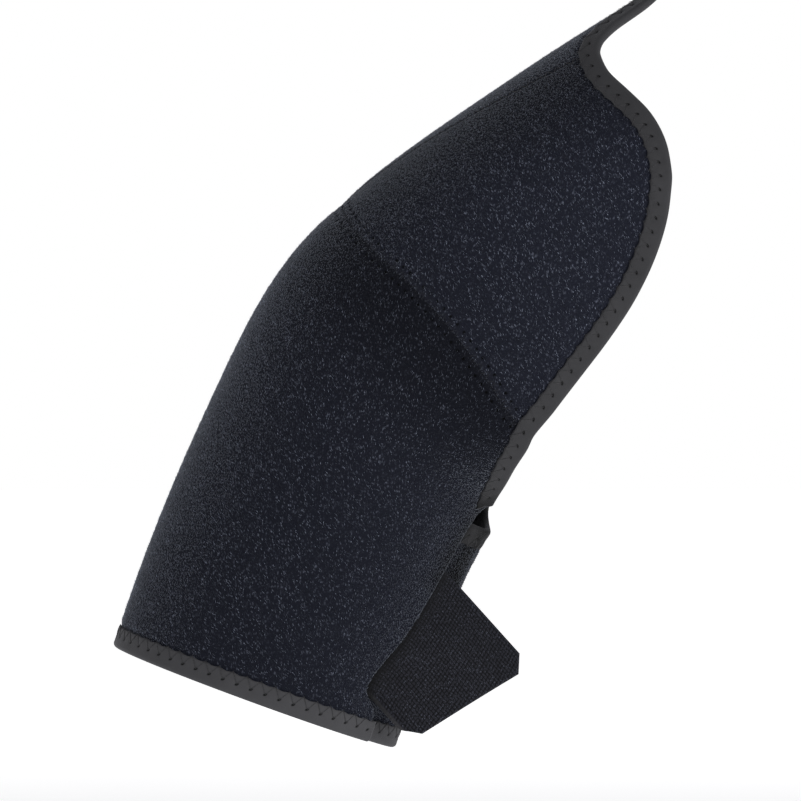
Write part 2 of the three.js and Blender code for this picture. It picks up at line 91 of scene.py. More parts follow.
# Lines on the form: along, and degrees around from the outer line to the chest side.
flank = (-0.12, 115.5)
flapCorner = (0.742, 78.6)
neckNotch = (0.7635, 27)
shoulderSeam = np.array([
    (-0.015, -25), (0, 0), (-0.015, 25), (-0.022, 42), (-0.02, 60), (-0.03, 78), (-0.06, 93),
    (-0.095, 104), flank,
])
ridgeSeam = np.array([(0, 4), (0.26, 12), (0.5, 20), neckNotch])
flapEdge = np.array([
    flank, (-0.02, 110.8), (0.17, 106.5), (0.33, 102.5), (0.465, 98.3), (0.578, 93),
    (0.67, 86.5), flapCorner,
])
neckEdge = np.array([
    flapCorner, (0.777, 70), (0.786, 60.5), (0.77, 49.5), (0.754, 38.5), neckNotch,
])
tongueHalf = [neckNotch, (0.79, 21.8), (0.84, 17.6), (0.91, 16), (0.955, 13.9), (0.988, 8)]
neckTongue = np.array([*tongueHalf, (1.0, 0), *[(a, -b) for a, b in reversed(tongueHalf)]])
armhole = np.array([
    flank, (-0.22, 124), (-0.31, 135), (-0.385, 147), (-0.43, 156), (-0.46, 167),
    (-0.475, 180), (-0.485, 205), (-0.49, 235),
])
openingFront = np.array([
    (-1.0, 145), (-0.94, 142), (-0.9, 134), (-0.77, 144), (-0.6, 150), (-0.5, 149.5), (-0.4, 150),
])
openingEase = 0.1
frontCorner = openingFront[-1, 1]

cloth = {
    "columnStep": 0.95 * mm,
    "panelGirth": 0.713,  # a shoulder panel's seam as a share of a round arc
    "tongueShare": 0.4,  # of a panel's columns, those that run into the tongue
    "fineStep": 0.6 * mm,
    "coarseStep": 3.4 * mm,
    "tongueStep": 1.2 * mm,
    "fineBand": 8 * mm,  # fine rows beside a seam or a cut edge
    "boundHalf": 0.9 * mm,  # half the cloth's thickness inside the tape
    "boundRise": 2.4 * mm,  # over which it swells again beside the tape
    "cutRound": 1.5 * mm,  # rounding of a cut edge
    "cutDepth": 0.94,  # share of the half wall that it takes off
    "seamGroove": 0.35 * mm,  # depth and width of the line where two panels meet
    "seamGrooveWidth": 0.7 * mm,
    "flatDepth": 0.15 * mm,  # how far the stitched strip is pressed
    "flatFade": (-0.4 * mm, 2.6 * mm),  # where that ends, from the needle row
    "rowOffset": 3.2 * mm,  # needle row to seam line
    "threadRow": 2.88 * mm,  # thread's corners to the seam line, and to the ridge's
    "ridgeRow": 1.6 * mm,
    "needlePitch": 4.1 * mm,
    "needleRadius": 0.76 * mm,
    "needleDepth": 0.9 * mm,
    "puckerDepth": 0.16 * mm,  # small swells beside the tape, one a stitch
    "puckerReach": 3 * mm,
}
pile = {
    "density": 0.92e6,  # fibres a square metre
    "length": (0.6 * mm, 1.4 * mm),
    "radius": (0.06 * mm, 0.11 * mm),
    "lift": (0.1, 0.5),  # rise for each unit of length
    "turn": {"sleeveCloth": 50, "chestCloth": 78, "backCloth": 78},  # degrees from the neck's way
    "spread": 13,
    "sink": 0.06 * mm,
    "seamShare": 0.85,  # how many stand on the stitched strip
}
tape = {
    "width": 8.5 * mm,
    "reach": 1.3 * mm,  # past the cloth's edge
    "inset": 1.3 * mm,  # from the drawn edge to the cloth's edge
    "thickness": 0.8 * mm,
    "half": 1.35 * mm,  # middle of the tape to the middle of the wall
    "step": 0.78 * mm,
    "arcSteps": 6,
    "legSteps": 11,
    "pitch": 5.9 * mm,
    "cuffPitch": 5.8 * mm,
    "cuffPast": 0.8 * mm,  # the cuff's tape reaches this much further
    "holeRow": 3.8 * mm,  # needle row, from the tape's inner edge
    "holeRadius": 0.8 * mm,
    "holeDepth": 0.34 * mm,
    "wave": 0.22 * mm,  # scallop of the inner edge
    "sag": 0.1 * mm,
    "smoothing": 14,  # rounds of smoothing where drawn lines meet
}
thread = {
    "radius": 0.16 * mm, "sides": 6, "spans": 5, "sink": 0.1 * mm, "overlap": 0.8 * mm,
    "twist": 9000.0, "relief": 0.05 * mm,
}
tab = {
    "thickness": 2.4 * mm,
    "width": 62 * mm,
    "length": 54 * mm,
    "skew": 10 * mm,
    "corner": 7 * mm,
    "root": 12 * mm,
    "bend": 12 * mm,
    "start": 122 * mm,
    "drop": 48,
    "forward": 4,
    "step": 0.5 * mm,
    "bendSteps": 20,
    "edgeRound": 1.0 * mm,
    "weavePitch": 1.45 * mm,
    "weaveDepth": 0.1 * mm,
    "hem": 3.2 * mm,
}


def smoothstep(x, low, high):
    # 3t^2 - 2t^3, where t runs from 0 at low to 1 at high
    t = np.clip((x - low) / (high - low), 0, 1)
    return t * t * (3 - 2 * t)


def readTable(rows, column, at, key=0):
    # cubic through the rows, with each row's slope taken from its two neighbours
    order = np.argsort(rows[:, key])
    keys, values = rows[order, key], rows[order, column]
    last = len(keys) - 1
    low, high = np.maximum(np.arange(last + 1) - 1, 0), np.minimum(np.arange(last + 1) + 1, last)
    slopes = (values[high] - values[low]) / (keys[high] - keys[low])
    i = np.clip(np.searchsorted(keys, at) - 1, 0, last - 1)
    step = keys[i + 1] - keys[i]
    t = np.clip((at - keys[i]) / step, 0, 1)
    rise = values[i] * (1 + 2 * t) * (1 - t) ** 2 + slopes[i] * step * t * (1 - t) ** 2
    return rise + values[i + 1] * t * t * (3 - 2 * t) + slopes[i + 1] * step * t * t * (t - 1)


def distanceAlong(share):
    # metres from the shoulder seam, measured on the outer line
    return share * np.where(share < 0, form["sleeveLength"], form["shoulderLength"])


def spineLine():
    # the outer line, added up from its headings on each side of the seat
    lean = math.radians(readTable(sections, 2, 0.0))
    lift = form["wall"] + form["seatDip"]
    count = form["spineSteps"]
    alongs, xs, zs = [], [], []
    for side, length in ((-1, form["sleeveLength"]), (1, form["shoulderLength"])):
        middle = side * (np.arange(count) + 0.5) / count
        heading = np.radians(readTable(sections, 1, middle))
        step = side * length / count
        alongs.append(side * np.arange(count + 1) / count)
        xs.append(np.concatenate([[0], np.cumsum(np.cos(heading) * step)]) - lift * math.cos(lean))
        zs.append(np.concatenate([[0], np.cumsum(np.sin(heading) * step)]) + lift * math.sin(lean))
    return [np.concatenate([a[0][:0:-1], a[1]]) for a in (alongs, xs, zs)]


spineAlong, spineX, spineZ = spineLine()


def formPoint(along, around):
    # spine point + girth (1 - cos) across the leaning section, and depth times sin in depth
    lean = np.radians(readTable(sections, 2, along))
    across = readTable(sections, 3, along) * form["sleeveWidth"] * (1 - np.cos(np.radians(around)))
    depth = readTable(sections, 4, along) * form["sleeveDepth"] * np.sin(np.radians(around))
    x = np.interp(along, spineAlong, spineX) + across * np.cos(lean)
    z = np.interp(along, spineAlong, spineZ) - across * np.sin(lean)
    return np.stack([x, -depth, z], axis=-1)


def unit(v):
    return v / np.maximum(np.linalg.norm(v, axis=-1, keepdims=True), 1e-12)


def slopesAt(along, around):
    # change of the form's point per unit of along and per degree of around
    low, high = np.maximum(along - 0.004, -1), np.minimum(along + 0.004, 1)
    perAlong = (formPoint(high, around) - formPoint(low, around)) / (high - low)[..., None]
    perAround = formPoint(along, around + 0.5) - formPoint(along, around - 0.5)
    return perAlong, perAround


def outwardAt(along, around):
    # the wall's normal: across both slopes
    perAlong, perAround = slopesAt(along, around)
    return unit(np.cross(perAround, perAlong))


def slide(along, around, direction, distance, steps=4):
    # moves spots over the form by solving the two slopes for the direction, in a few steps
    for _ in range(steps):
        perAlong, perAround = slopesAt(along, around)
        aa, bb = (perAlong ** 2).sum(-1), (perAround ** 2).sum(-1)
        ab = (perAlong * perAround).sum(-1)
        da, db = (direction * perAlong).sum(-1), (direction * perAround).sum(-1)
        det = aa * bb - ab * ab
        along = along + (da * bb - db * ab) / det * distance / steps
        around = around + (db * aa - da * ab) / det * distance / steps
    return along, around


def cumulative(points):
    return np.concatenate([[0], np.cumsum(np.linalg.norm(np.diff(points, axis=0), axis=1))])


def drawnLine(rows, count):
    # centripetal curve through the rows, cut to equal lengths on the form
    p = np.stack([rows[:, 0] * 100, rows[:, 1]], axis=1)
    p = np.concatenate([[2 * p[0] - p[1]], p, [2 * p[-1] - p[-2]]])
    gap = np.linalg.norm(np.diff(p, axis=0), axis=1)[:, None] ** 0.5
    d = np.diff(p, axis=0)
    tangent = d[:-1] / gap[:-1] - (p[2:] - p[:-2]) / (gap[:-1] + gap[1:]) + d[1:] / gap[1:]
    t = np.linspace(0, 1, 40, endpoint=False)[None, :, None]
    a, b = p[1:-2, None], p[2:-1, None]
    ta, tb = tangent[:-1, None] * gap[1:-1, None], tangent[1:, None] * gap[1:-1, None]
    fine = a * (2 * t ** 3 - 3 * t ** 2 + 1) + ta * (t ** 3 - 2 * t ** 2 + t)
    fine = fine + b * (3 * t ** 2 - 2 * t ** 3) + tb * (t ** 3 - t ** 2)
    fine = np.concatenate([fine.reshape(-1, 2), p[-2:-1]])
    along, around = fine[:, 0] / 100, fine[:, 1]
    lengths = cumulative(formPoint(along, around))
    at = np.linspace(0, lengths[-1], count + 1)
    return np.interp(at, lengths, along), np.interp(at, lengths, around)


def shiftLine(along, around, distance):
    # to the left of the line, seen from outside
    points = formPoint(along, around)
    direction = unit(np.cross(outwardAt(along, around), np.gradient(points, axis=0)))
    return slide(along, around, direction, distance)


def resample(line, share):
    # a drawn line's spots at the given shares of its length
    along, around = line
    lengths = cumulative(formPoint(along, around))
    at = np.asarray(share) * lengths[-1]
    return np.interp(at, lengths, along), np.interp(at, lengths, around)


def lineLength(line):
    return cumulative(formPoint(*line))[-1]


def joinLines(*lines):
    return tuple(np.concatenate([lines[0][k], *[line[k][1:] for line in lines[1:]]]) for k in (0, 1))


def turned(line):
    return line[0][::-1], line[1][::-1]


def mirrored(line):
    return line[0], -line[1]


def gradedShares(length, fine, coarse, startBand, endBand):
    # steps grow from fine at a banded end to coarse further in
    x = np.linspace(0, length, 2001)
    step = np.full(x.shape, coarse)
    for band, off in ((startBand, x), (endBand, length - x)):
        if band:
            step = np.minimum(step, fine + (coarse - fine) * np.clip((off - band) / (2 * band), 0, 1))
    counts = np.concatenate([[0], np.cumsum(2 * np.diff(x) / (step[1:] + step[:-1]))])
    return np.interp(np.linspace(0, counts[-1], int(np.ceil(counts[-1])) + 1), counts, x) / length


def nearest(points, line):
    # distance to a line in space, and the length along it of the nearest place
    lengths = cumulative(line)
    gaps = np.concatenate([[0], np.diff(lengths), [0]])
    tangents = unit(np.gradient(line, axis=0))
    flat = points.reshape(-1, line.shape[1])
    distance, place = np.empty(len(flat)), np.empty(len(flat))
    for start in range(0, len(flat), 20000):
        block = flat[start:start + 20000]
        square = (block ** 2).sum(1)[:, None] + (line ** 2).sum(1)[None] - 2 * block @ line.T
        i = square.argmin(1)
        off = block - line[i]
        run = (off * tangents[i]).sum(1)
        run = np.clip(run, -gaps[i], gaps[i + 1])
        distance[start:start + 20000] = np.linalg.norm(off - run[:, None] * tangents[i], axis=1)
        place[start:start + 20000] = lengths[i] + run
    return distance.reshape(points.shape[:-1]), place.reshape(points.shape[:-1])


def layered(along, around):
    # the form's points with a fourth length that parts the lapped layer from the one over it
    fourth = form["layerGap"] * smoothstep(-around, *form["layerTurn"])
    return np.concatenate([formPoint(along, around), fourth[..., None]], axis=-1)


def seamSpots(around, side):
    # the shoulder seam at these degrees, half a gap to the given side
    along = readTable(shoulderSeam, 0, np.abs(around), key=1)
    perAlong, _ = slopesAt(along, around)
    return slide(along, around, unit(perAlong), side * form["seamGap"] / 2)


def ridgeSpots(along, side):
    # the seam over the shoulder's top, half a gap to the given side
    around = readTable(ridgeSeam, 1, along)
    _, perAround = slopesAt(along, around)
    return slide(along, around, unit(perAround), side * form["seamGap"] / 2)


# Lines that the pieces share, each in a number of equal steps.
lineSteps = {
    "flap": 260, "neck": 160, "tongue": 320, "frontArmhole": 120, "backArmhole": 360,
    "seam": 700, "ridge": 400, "underarmShade": 40,
}
flapAndNeck = drawnLine(flapEdge, lineSteps["flap"]), drawnLine(neckEdge, lineSteps["neck"])
chestOutline = shiftLine(*joinLines(*flapAndNeck), tape["inset"])
backOutline = joinLines(*flapAndNeck, drawnLine(neckTongue, lineSteps["tongue"]))
backOutline = shiftLine(*backOutline, tape["inset"])
armholeRows = armhole[armhole[:, 1] < frontCorner]
cornerAlong = readTable(armhole, 0, frontCorner, key=1)
frontRows = np.array([*armholeRows, (cornerAlong, frontCorner)])
frontArmhole = shiftLine(*turned(drawnLine(frontRows, lineSteps["frontArmhole"])), tape["inset"])
backArmhole = shiftLine(*turned(drawnLine(armhole, lineSteps["backArmhole"])), tape["inset"])
backArmhole = mirrored(turned(backArmhole))
openEdge = joinLines(frontArmhole, chestOutline, mirrored(turned(backOutline)), backArmhole)
openEdgePoints = layered(*openEdge)
seamAround = np.linspace(-flank[1], flank[1], lineSteps["seam"])
seamPoints = layered(*seamSpots(seamAround, 0))
ridgePoints = layered(*ridgeSpots(np.linspace(0, neckNotch[0], lineSteps["ridge"]), 0))

# Painted shade under the arm, along the opening's front edge: colour darkened where the sleeve turns in
# and shadow falls.
underarmShade = {
    "start": -0.4, "end": -0.62, "around": (152, 168, 184, 204), "reach": 9 * mm, "dark": 0.02,
}
underarmShadeAlong = np.linspace(underarmShade["start"], underarmShade["end"], lineSteps["underarmShade"])
underarmShadeAlong = np.concatenate([underarmShadeAlong, underarmShadeAlong[::-1]] * 2)
underarmShadePoints = formPoint(underarmShadeAlong, np.repeat(underarmShade["around"], lineSteps["underarmShade"]).astype(float))

rng = np.random.default_rng(form["seed"])
waves = [(rng.uniform(1, 3.5), rng.integers(1, 5), rng.uniform(0, 6.28)) for _ in range(7)]


def ripple(along, around):
    # sum of slow sines over the form
    total = sum(np.sin(a * 3 * along + b * np.radians(around) + c) for a, b, c in waves)
    return form["ripple"] * total / math.sqrt(len(waves))


def frontEdgeAt(along):
    # degrees around of the opening's front edge, eased into the armhole's corner
    fade = smoothstep(along, cornerAlong - openingEase, cornerAlong)
    return readTable(openingFront, 1, along) * (1 - fade) + frontCorner * fade


def lapDepth(around):
    # how deep the lapped layer lies: under the wall, the tab and their clearances
    lap = smoothstep(-around, form["lapStart"], form["lapEnd"])
    return lap * (form["wall"] + 3 * form["clearance"] + tab["thickness"])


def wallDepth(along, around):
    # valley at the shoulder seam, the lap under the front edge, and the soft unevenness
    seam = readTable(shoulderSeam, 0, np.minimum(np.abs(around), flank[1]), key=1)
    off = (distanceAlong(along) - distanceAlong(seam)) / form["seamDipWidth"]
    return form["seamDip"] * np.exp(-off * off) + lapDepth(around) + ripple(along, around)


def holeMask(place, across, pitch, row, radius):
    # a bell round each needle hole of one row
    run = (place / pitch + 0.5) % 1 - 0.5
    return np.exp(-((run * pitch) ** 2 + (across - row) ** 2) / radius ** 2)


def underarmShadeAt(spots):
    # painted shade: 1 in the open, down to its darkness along the line under the arm
    away = nearest(spots[..., :3], underarmShadePoints)[0] / underarmShade["reach"]
    return 1 - (1 - underarmShade["dark"]) * np.exp(-away * away)


def clothSurface(along, around, cutLines=()):
    # the wall's two faces: pressed in the tapes and seams, dented by needles, rounded at cut edges
    points, outward = formPoint(along, around), outwardAt(along, around)
    wall = form["wall"]
    spots = layered(along, around)
    edge, place = nearest(spots, openEdgePoints)
    cuffEdge = np.maximum(distanceAlong(along) + form["sleeveLength"] - tape["inset"], 0)
    edge = np.minimum(edge, cuffEdge)
    leg = tape["width"] - tape["reach"]
    inTape = 1 - smoothstep(edge, leg - 0.6 * mm, leg + cloth["boundRise"])
    press = (wall / 2 - cloth["boundHalf"]) * inTape
    beside = np.exp(-np.maximum(edge - leg, 0) / cloth["puckerReach"]) * (edge > leg - 0.5 * mm)
    pucker = cloth["puckerDepth"] * beside * np.cos(2 * math.pi * place / tape["pitch"])
    seam, seamPlace = nearest(spots, seamPoints)
    ridge = nearest(spots, ridgePoints)[0]
    groove = np.exp(-(np.minimum(seam, ridge) / cloth["seamGrooveWidth"]) ** 2)
    flat = 1 - smoothstep(seam, *(cloth["rowOffset"] + off for off in cloth["flatFade"]))
    holes = holeMask(seamPlace, seam, cloth["needlePitch"], cloth["rowOffset"], cloth["needleRadius"])
    sunk = cloth["seamGroove"] * groove + cloth["flatDepth"] * flat
    sunk = (sunk + cloth["needleDepth"] * holes) * (1 - inTape)
    rounded = np.zeros(edge.shape)
    for line in cutLines:
        off = np.clip(nearest(spots, line)[0] / cloth["cutRound"], 0, 1)
        rounded = np.maximum(rounded, 1 - np.sqrt(1 - (1 - off) ** 2))
    press = press + (wall / 2 - press) * cloth["cutDepth"] * rounded
    depth = wallDepth(along, around)
    outer = points - outward * (depth + press + sunk + pucker)[..., None]
    inner = points - outward * (depth + wall - press)[..., None]
    return outer, inner, {
        "seamAcross": seam, "seamAlong": seamPlace, "ridgeAcross": ridge, "edgeAcross": edge,
        # the first mark here is painted shade under the arm
        "underarmShade": underarmShadeAt(spots), "lap": smoothstep(-around, *form["lapHidden"]),
    }


def gridQuads(rows, columns, start=0):
    # four corners of each cell of a grid of points, counted row by row
    i, j = np.meshgrid(np.arange(rows - 1), np.arange(columns - 1), indexing="ij")
    a = start + i * columns + j
    return np.stack([a, a + 1, a + columns + 1, a + columns], axis=-1).reshape(-1, 4)


def closeSheet(outer, inner, quads, flip=False):
    # outer face, inner face turned over, and a rim along each open edge, with like corners merged
    keys = np.round(np.concatenate([outer, inner], axis=1) / 1e-6).astype(np.int64)
    _, first, which = np.unique(keys, axis=0, return_index=True, return_inverse=True)
    which = which.reshape(-1)
    outer, inner, quads = outer[first], inner[first], which[quads]
    triangles = np.concatenate([quads[:, [0, 1, 2]], quads[:, [0, 2, 3]]])
    good = (triangles != np.roll(triangles, 1, axis=1)).all(1)
    triangles = triangles[good]
    if flip:
        triangles = triangles[:, ::-1].copy()
    count = len(outer)
    edges = np.concatenate([triangles[:, [0, 1]], triangles[:, [1, 2]], triangles[:, [2, 0]]])
    code = edges[:, 0] * count + edges[:, 1]
    back = edges[:, 1] * count + edges[:, 0]
    rim = edges[~np.isin(code, back)]
    a, b = rim[:, 0], rim[:, 1]
    walls = np.concatenate([np.stack([b, a, a + count], 1), np.stack([b, a + count, b + count], 1)])
    faces = np.concatenate([triangles, triangles[:, ::-1] + count, walls])
    return np.concatenate([outer, inner]), faces, first


def faceNormals(corners):
    # as long as twice the face's area
    return np.cross(corners[:, 1] - corners[:, 0], corners[:, 2] - corners[:, 0])


def twice(values):
    return np.concatenate([values, values])


def makePiece(name, points, faces, material, uv=None, attributes=None):
    mesh = bpy.data.meshes.new(name)
    mesh.vertices.add(len(points))
    mesh.vertices.foreach_set("co", points.astype(np.float32).ravel())
    mesh.loops.add(faces.size)
    mesh.loops.foreach_set("vertex_index", faces.astype(np.int32).ravel())
    mesh.polygons.add(len(faces))
    mesh.polygons.foreach_set("loop_start", np.arange(0, faces.size, faces.shape[1], dtype=np.int32))
    mesh.update(calc_edges=True)
    mesh.validate()
    if uv is not None:
        layer = mesh.uv_layers.new(name="surface")
        layer.data.foreach_set("uv", uv[faces.ravel()].astype(np.float32).ravel())
    for key, values in (attributes or {}).items():
        attribute = mesh.attributes.new(key, "FLOAT", "POINT")
        attribute.data.foreach_set("value", values.astype(np.float32))
    mesh.polygons.foreach_set("use_smooth", np.ones(len(faces), dtype=bool))
    mesh.materials.append(material)
    piece = bpy.data.objects.new(name, mesh)
    bpy.context.scene.collection.objects.link(piece)
    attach(piece, "root")
    area = np.linalg.norm(faceNormals(points[faces]), axis=1).sum() / 2
    print("made", name, len(faces), "faces,", round(float(area), 5), "square metres")
    return piece


def clothPiece(name, along, around, quads, cutLines=(), flip=False, uv=None):
    # the closed wall over the given spots, and the pile that stands on its outer face
    outer, inner, marks = clothSurface(along, around, cutLines)
    points, faces, first = closeSheet(outer, inner, quads, flip)
    attributes = {key: twice(values[first]) for key, values in marks.items()}
    attributes["liner"] = np.concatenate([np.zeros(len(first)), np.ones(len(first))])
    piece = makePiece(name, points, faces, materials[name], twice(uv[first]), attributes)
    nap = unit(slopesAt(along, around)[0])[first]
    return piece, pilePiece(name, points, faces, nap, attributes)


def pilePiece(name, points, faces, nap, marks):
    # fibres scattered by area: thin three-sided cones, each leaning from its root along the nap
    half = len(nap)
    outer = faces[(faces < half).all(1)]
    corners = points[outer]
    normal = faceNormals(corners)
    area = np.linalg.norm(normal, axis=1) / 2
    keys = "edgeAcross", "seamAcross", "ridgeAcross", "underarmShade", "lap"
    edge, seam, ridge, shadow, lap = (marks[key][outer].mean(1) for key in keys)
    leg = tape["width"] - tape["reach"]
    keep = (edge > leg + 0.3 * mm) * np.where(seam < cloth["rowOffset"], pile["seamShare"], 1.0)
    keep = keep * (lap < 0.5)
    count = int((area * (keep > 0)).sum() * pile["density"])
    chosen = rng.choice(len(outer), count, p=area * keep / (area * keep).sum())
    # painted light and shade on the fibres: the panel brightened, darker near the seam and the ridge
    near = pileLook["shadeNearSeam"][name]
    tone = near + (1 - near) * smoothstep(seam, *pileLook["nearBand"])
    near = pileLook["shadeNearRidge"][name]
    tone = tone * pileLook["lightGain"][name]
    tone = tone * (near + (1 - near) * smoothstep(ridge, *pileLook["ridgeBand"]))
    # painted shade under the arm darkens the fibres as well
    shadow = (tone * shadow)[chosen]
    a, b = rng.random((2, count, 1))
    a, b = np.where(a + b > 1, 1 - a, a), np.where(a + b > 1, 1 - b, b)
    corner = corners[chosen]
    root = corner[:, 0] * (1 - a - b) + corner[:, 1] * a + corner[:, 2] * b
    up = unit(normal[chosen])
    along = nap[outer[chosen, 0]]
    along = unit(along - (along * up).sum(1)[:, None] * up)
    angle = np.radians(rng.normal(pile["turn"][name], pile["spread"], count))[:, None]
    lying = along * np.cos(angle) + np.cross(up, along) * np.sin(angle)
    axis = unit(lying + up * rng.uniform(*pile["lift"], (count, 1)))
    length = rng.uniform(*pile["length"], (count, 1))
    radius = rng.uniform(*pile["radius"], (count, 1))
    side = unit(np.cross(axis, up))
    over = np.cross(axis, side)
    turns = np.radians([0, 120, 240])
    ring = side[:, None] * np.cos(turns)[None, :, None] + over[:, None] * np.sin(turns)[None, :, None]
    base = (root - up * pile["sink"])[:, None] + ring * radius[:, None]
    tip = (root + axis * length)[:, None]
    cone = np.array([[0, 1, 3], [1, 2, 3], [2, 0, 3], [0, 2, 1]])
    made = (cone[None] + (np.arange(count) * 4)[:, None, None]).reshape(-1, 3)
    # each fibre's chance of a painted glint, times the painted light and shade of its place
    shade = np.repeat(rng.random(count) * shadow ** (1 / fibreLook["power"]), 4)
    places = np.concatenate([base, tip], axis=1).reshape(-1, 3)
    ends = np.tile([0.0, 0.0, 0.0, 1.0], count)
    marks = {"shade": shade, "tip": ends}
    return makePiece(name + "Pile", places, made, materials["fibre"], None, marks)


def clothUv(along, around):
    # lengths over the form: round it, and along it
    _, perAround = slopesAt(along, around)
    middle = np.linalg.norm(perAround, axis=-1).mean()
    return np.stack([around * middle, distanceAlong(along)], axis=-1)


def addNode(tree, kind, sockets=None, **settings):
    node = tree.nodes.new(kind)
    for key, value in settings.items():
        setattr(node, key, value)
    for key, value in (sockets or {}).items():
        if isinstance(value, bpy.types.NodeSocket):
            tree.links.new(value, node.inputs[key])
        else:
            node.inputs[key].default_value = value
    return node


def maths(tree, operation, a, b=0.0):
    return addNode(tree, "ShaderNodeMath", {0: a, 1: b}, operation=operation).outputs[0]


def times(tree, a, b):
    return maths(tree, "MULTIPLY", a, b)


def over(tree, a, b):
    return maths(tree, "DIVIDE", a, b)


def plus(tree, a, b):
    return maths(tree, "ADD", a, b)


def minus(tree, a, b):
    return maths(tree, "SUBTRACT", a, b)


def noise(tree, place, scale, detail):
    sockets = {"Vector": place, "Scale": scale, "Detail": detail}
    return addNode(tree, "ShaderNodeTexNoise", sockets).outputs


def ramp(tree, value, low, high, bottom=0.0, top=1.0):
    sockets = {"Value": value, "From Min": low, "From Max": high, "To Min": bottom, "To Max": top}
    return addNode(tree, "ShaderNodeMapRange", sockets, interpolation_type="SMOOTHSTEP").outputs[0]


def newGroup(name, inputs, outputs):
    tree = bpy.data.node_groups.new(name, "ShaderNodeTree")
    for socket, kind, value in inputs:
        made = tree.interface.new_socket(name=socket, in_out="INPUT", socket_type=kind)
        if value is not None:
            made.default_value = value
    for socket in outputs:
        tree.interface.new_socket(name=socket, in_out="OUTPUT", socket_type="NodeSocketFloat")
    return tree, addNode(tree, "NodeGroupInput").outputs, addNode(tree, "NodeGroupOutput")


def fibreGroup():
    # short bright fibres, their brightness a painted glint: cells stretched along the nap, kept by
    # chance, brightest in the middle
    tree, given, result = newGroup(
        "fibreSpecks",
        [("Vector", "NodeSocketVector", None), ("Size", "NodeSocketFloat", 1.0),
         ("Stretch", "NodeSocketFloat", 2.0), ("Share", "NodeSocketFloat", 0.5)],
        ["Mask", "Height"],
    )
    x = over(tree, 1.0, given["Size"])
    y = over(tree, x, given["Stretch"])
    scale = addNode(tree, "ShaderNodeCombineXYZ", {0: x, 1: y, 2: x}).outputs[0]
    placed = addNode(
        tree, "ShaderNodeVectorMath", {0: given["Vector"], 1: scale}, operation="MULTIPLY"
    ).outputs[0]
    sockets = {"Vector": placed, "Scale": 1.0}
    cells = addNode(tree, "ShaderNodeTexVoronoi", sockets, voronoi_dimensions="2D")
    chance = addNode(tree, "ShaderNodeSeparateColor", {0: cells.outputs["Color"]}).outputs
    kept = ramp(tree, chance[0], minus(tree, 1.0, given["Share"]), 1.0)
    spot = ramp(tree, cells.outputs["Distance"], 0.42, 0.05)
    bright = times(tree, kept, chance[1])
    tree.links.new(times(tree, spot, bright), result.inputs["Mask"])
    tree.links.new(spot, result.inputs["Height"])
    return tree


def holeGroup():
    # dark bells at equal steps along a line, at one distance from it
    tree, given, result = newGroup(
        "needleHoles",
        [("Along", "NodeSocketFloat", 0.0), ("Across", "NodeSocketFloat", 0.0),
         ("Pitch", "NodeSocketFloat", 0.004), ("Row", "NodeSocketFloat", 0.003),
         ("Radius", "NodeSocketFloat", 0.0006), ("Slant", "NodeSocketFloat", 0.0)],
        ["Mask"],
    )
    turns = plus(tree, over(tree, given["Along"], given["Pitch"]), 0.5)
    run = minus(tree, maths(tree, "FRACT", turns), 0.5)
    run = times(tree, run, given["Pitch"])
    off = minus(tree, given["Across"], given["Row"])
    run = plus(tree, run, times(tree, off, given["Slant"]))
    far = plus(tree, maths(tree, "POWER", run, 2.0), maths(tree, "POWER", off, 2.0))
    share = over(tree, maths(tree, "SQRT", far), given["Radius"])
    tree.links.new(ramp(tree, share, 1.15, 0.35), result.inputs["Mask"])
    return tree


def weaveGroup():
    # plain weave: threads in two directions, over and under by turns
    tree, given, result = newGroup(
        "plainWeave",
        [("Vector", "NodeSocketVector", None), ("Pitch", "NodeSocketFloat", 0.001)],
        ["Height", "Gap"],
    )
    place = addNode(tree, "ShaderNodeSeparateXYZ", {0: given["Vector"]}).outputs
    x = over(tree, place[0], given["Pitch"])
    y = over(tree, place[1], given["Pitch"])
    overX = maths(tree, "ABSOLUTE", maths(tree, "SINE", times(tree, x, math.pi)))
    overY = maths(tree, "ABSOLUTE", maths(tree, "SINE", times(tree, y, math.pi)))
    cells = plus(tree, maths(tree, "FLOOR", x), maths(tree, "FLOOR", y))
    parity = maths(tree, "MODULO", maths(tree, "ABSOLUTE", cells), 2.0)
    low = times(tree, overX, minus(tree, 1.0, parity))
    high = plus(tree, low, times(tree, overY, parity))
    gap = maths(tree, "MINIMUM", overX, overY)
    tree.links.new(high, result.inputs["Height"])
    tree.links.new(ramp(tree, gap, 0.45, 0.05), result.inputs["Gap"])
    return tree


def driftGroup():
    # slow lighter and darker patches, round 1
    tree, given, result = newGroup(
        "toneDrift",
        [("Vector", "NodeSocketVector", None), ("Scale", "NodeSocketFloat", 30.0),
         ("Amount", "NodeSocketFloat", 0.2)],
        ["Tone"],
    )
    patches = noise(tree, given["Vector"], given["Scale"], 4.0)["Fac"]
    swing = times(tree, minus(tree, patches, 0.5), given["Amount"])
    tree.links.new(plus(tree, 1.0, times(tree, swing, 2.0)), result.inputs["Tone"])
    return tree


groups = {"fibre": fibreGroup(), "hole": holeGroup(), "weave": weaveGroup(), "drift": driftGroup()}


def useGroup(tree, group, sockets):
    return addNode(tree, "ShaderNodeGroup", sockets, node_tree=groups[group]).outputs


def newMaterial(name, shader):
    material = bpy.data.materials.new(name)
    material.use_nodes = True
    tree = material.node_tree
    principled = tree.nodes["Principled BSDF"]
    for key, value in shader.items():
        principled.inputs[key].default_value = value
    return material, tree, principled


def mixColour(tree, share, a, b, blend="MIX"):
    sockets = {0: share, 6: a, 7: b}
    return addNode(tree, "ShaderNodeMix", sockets, data_type="RGBA", blend_type=blend).outputs[2]


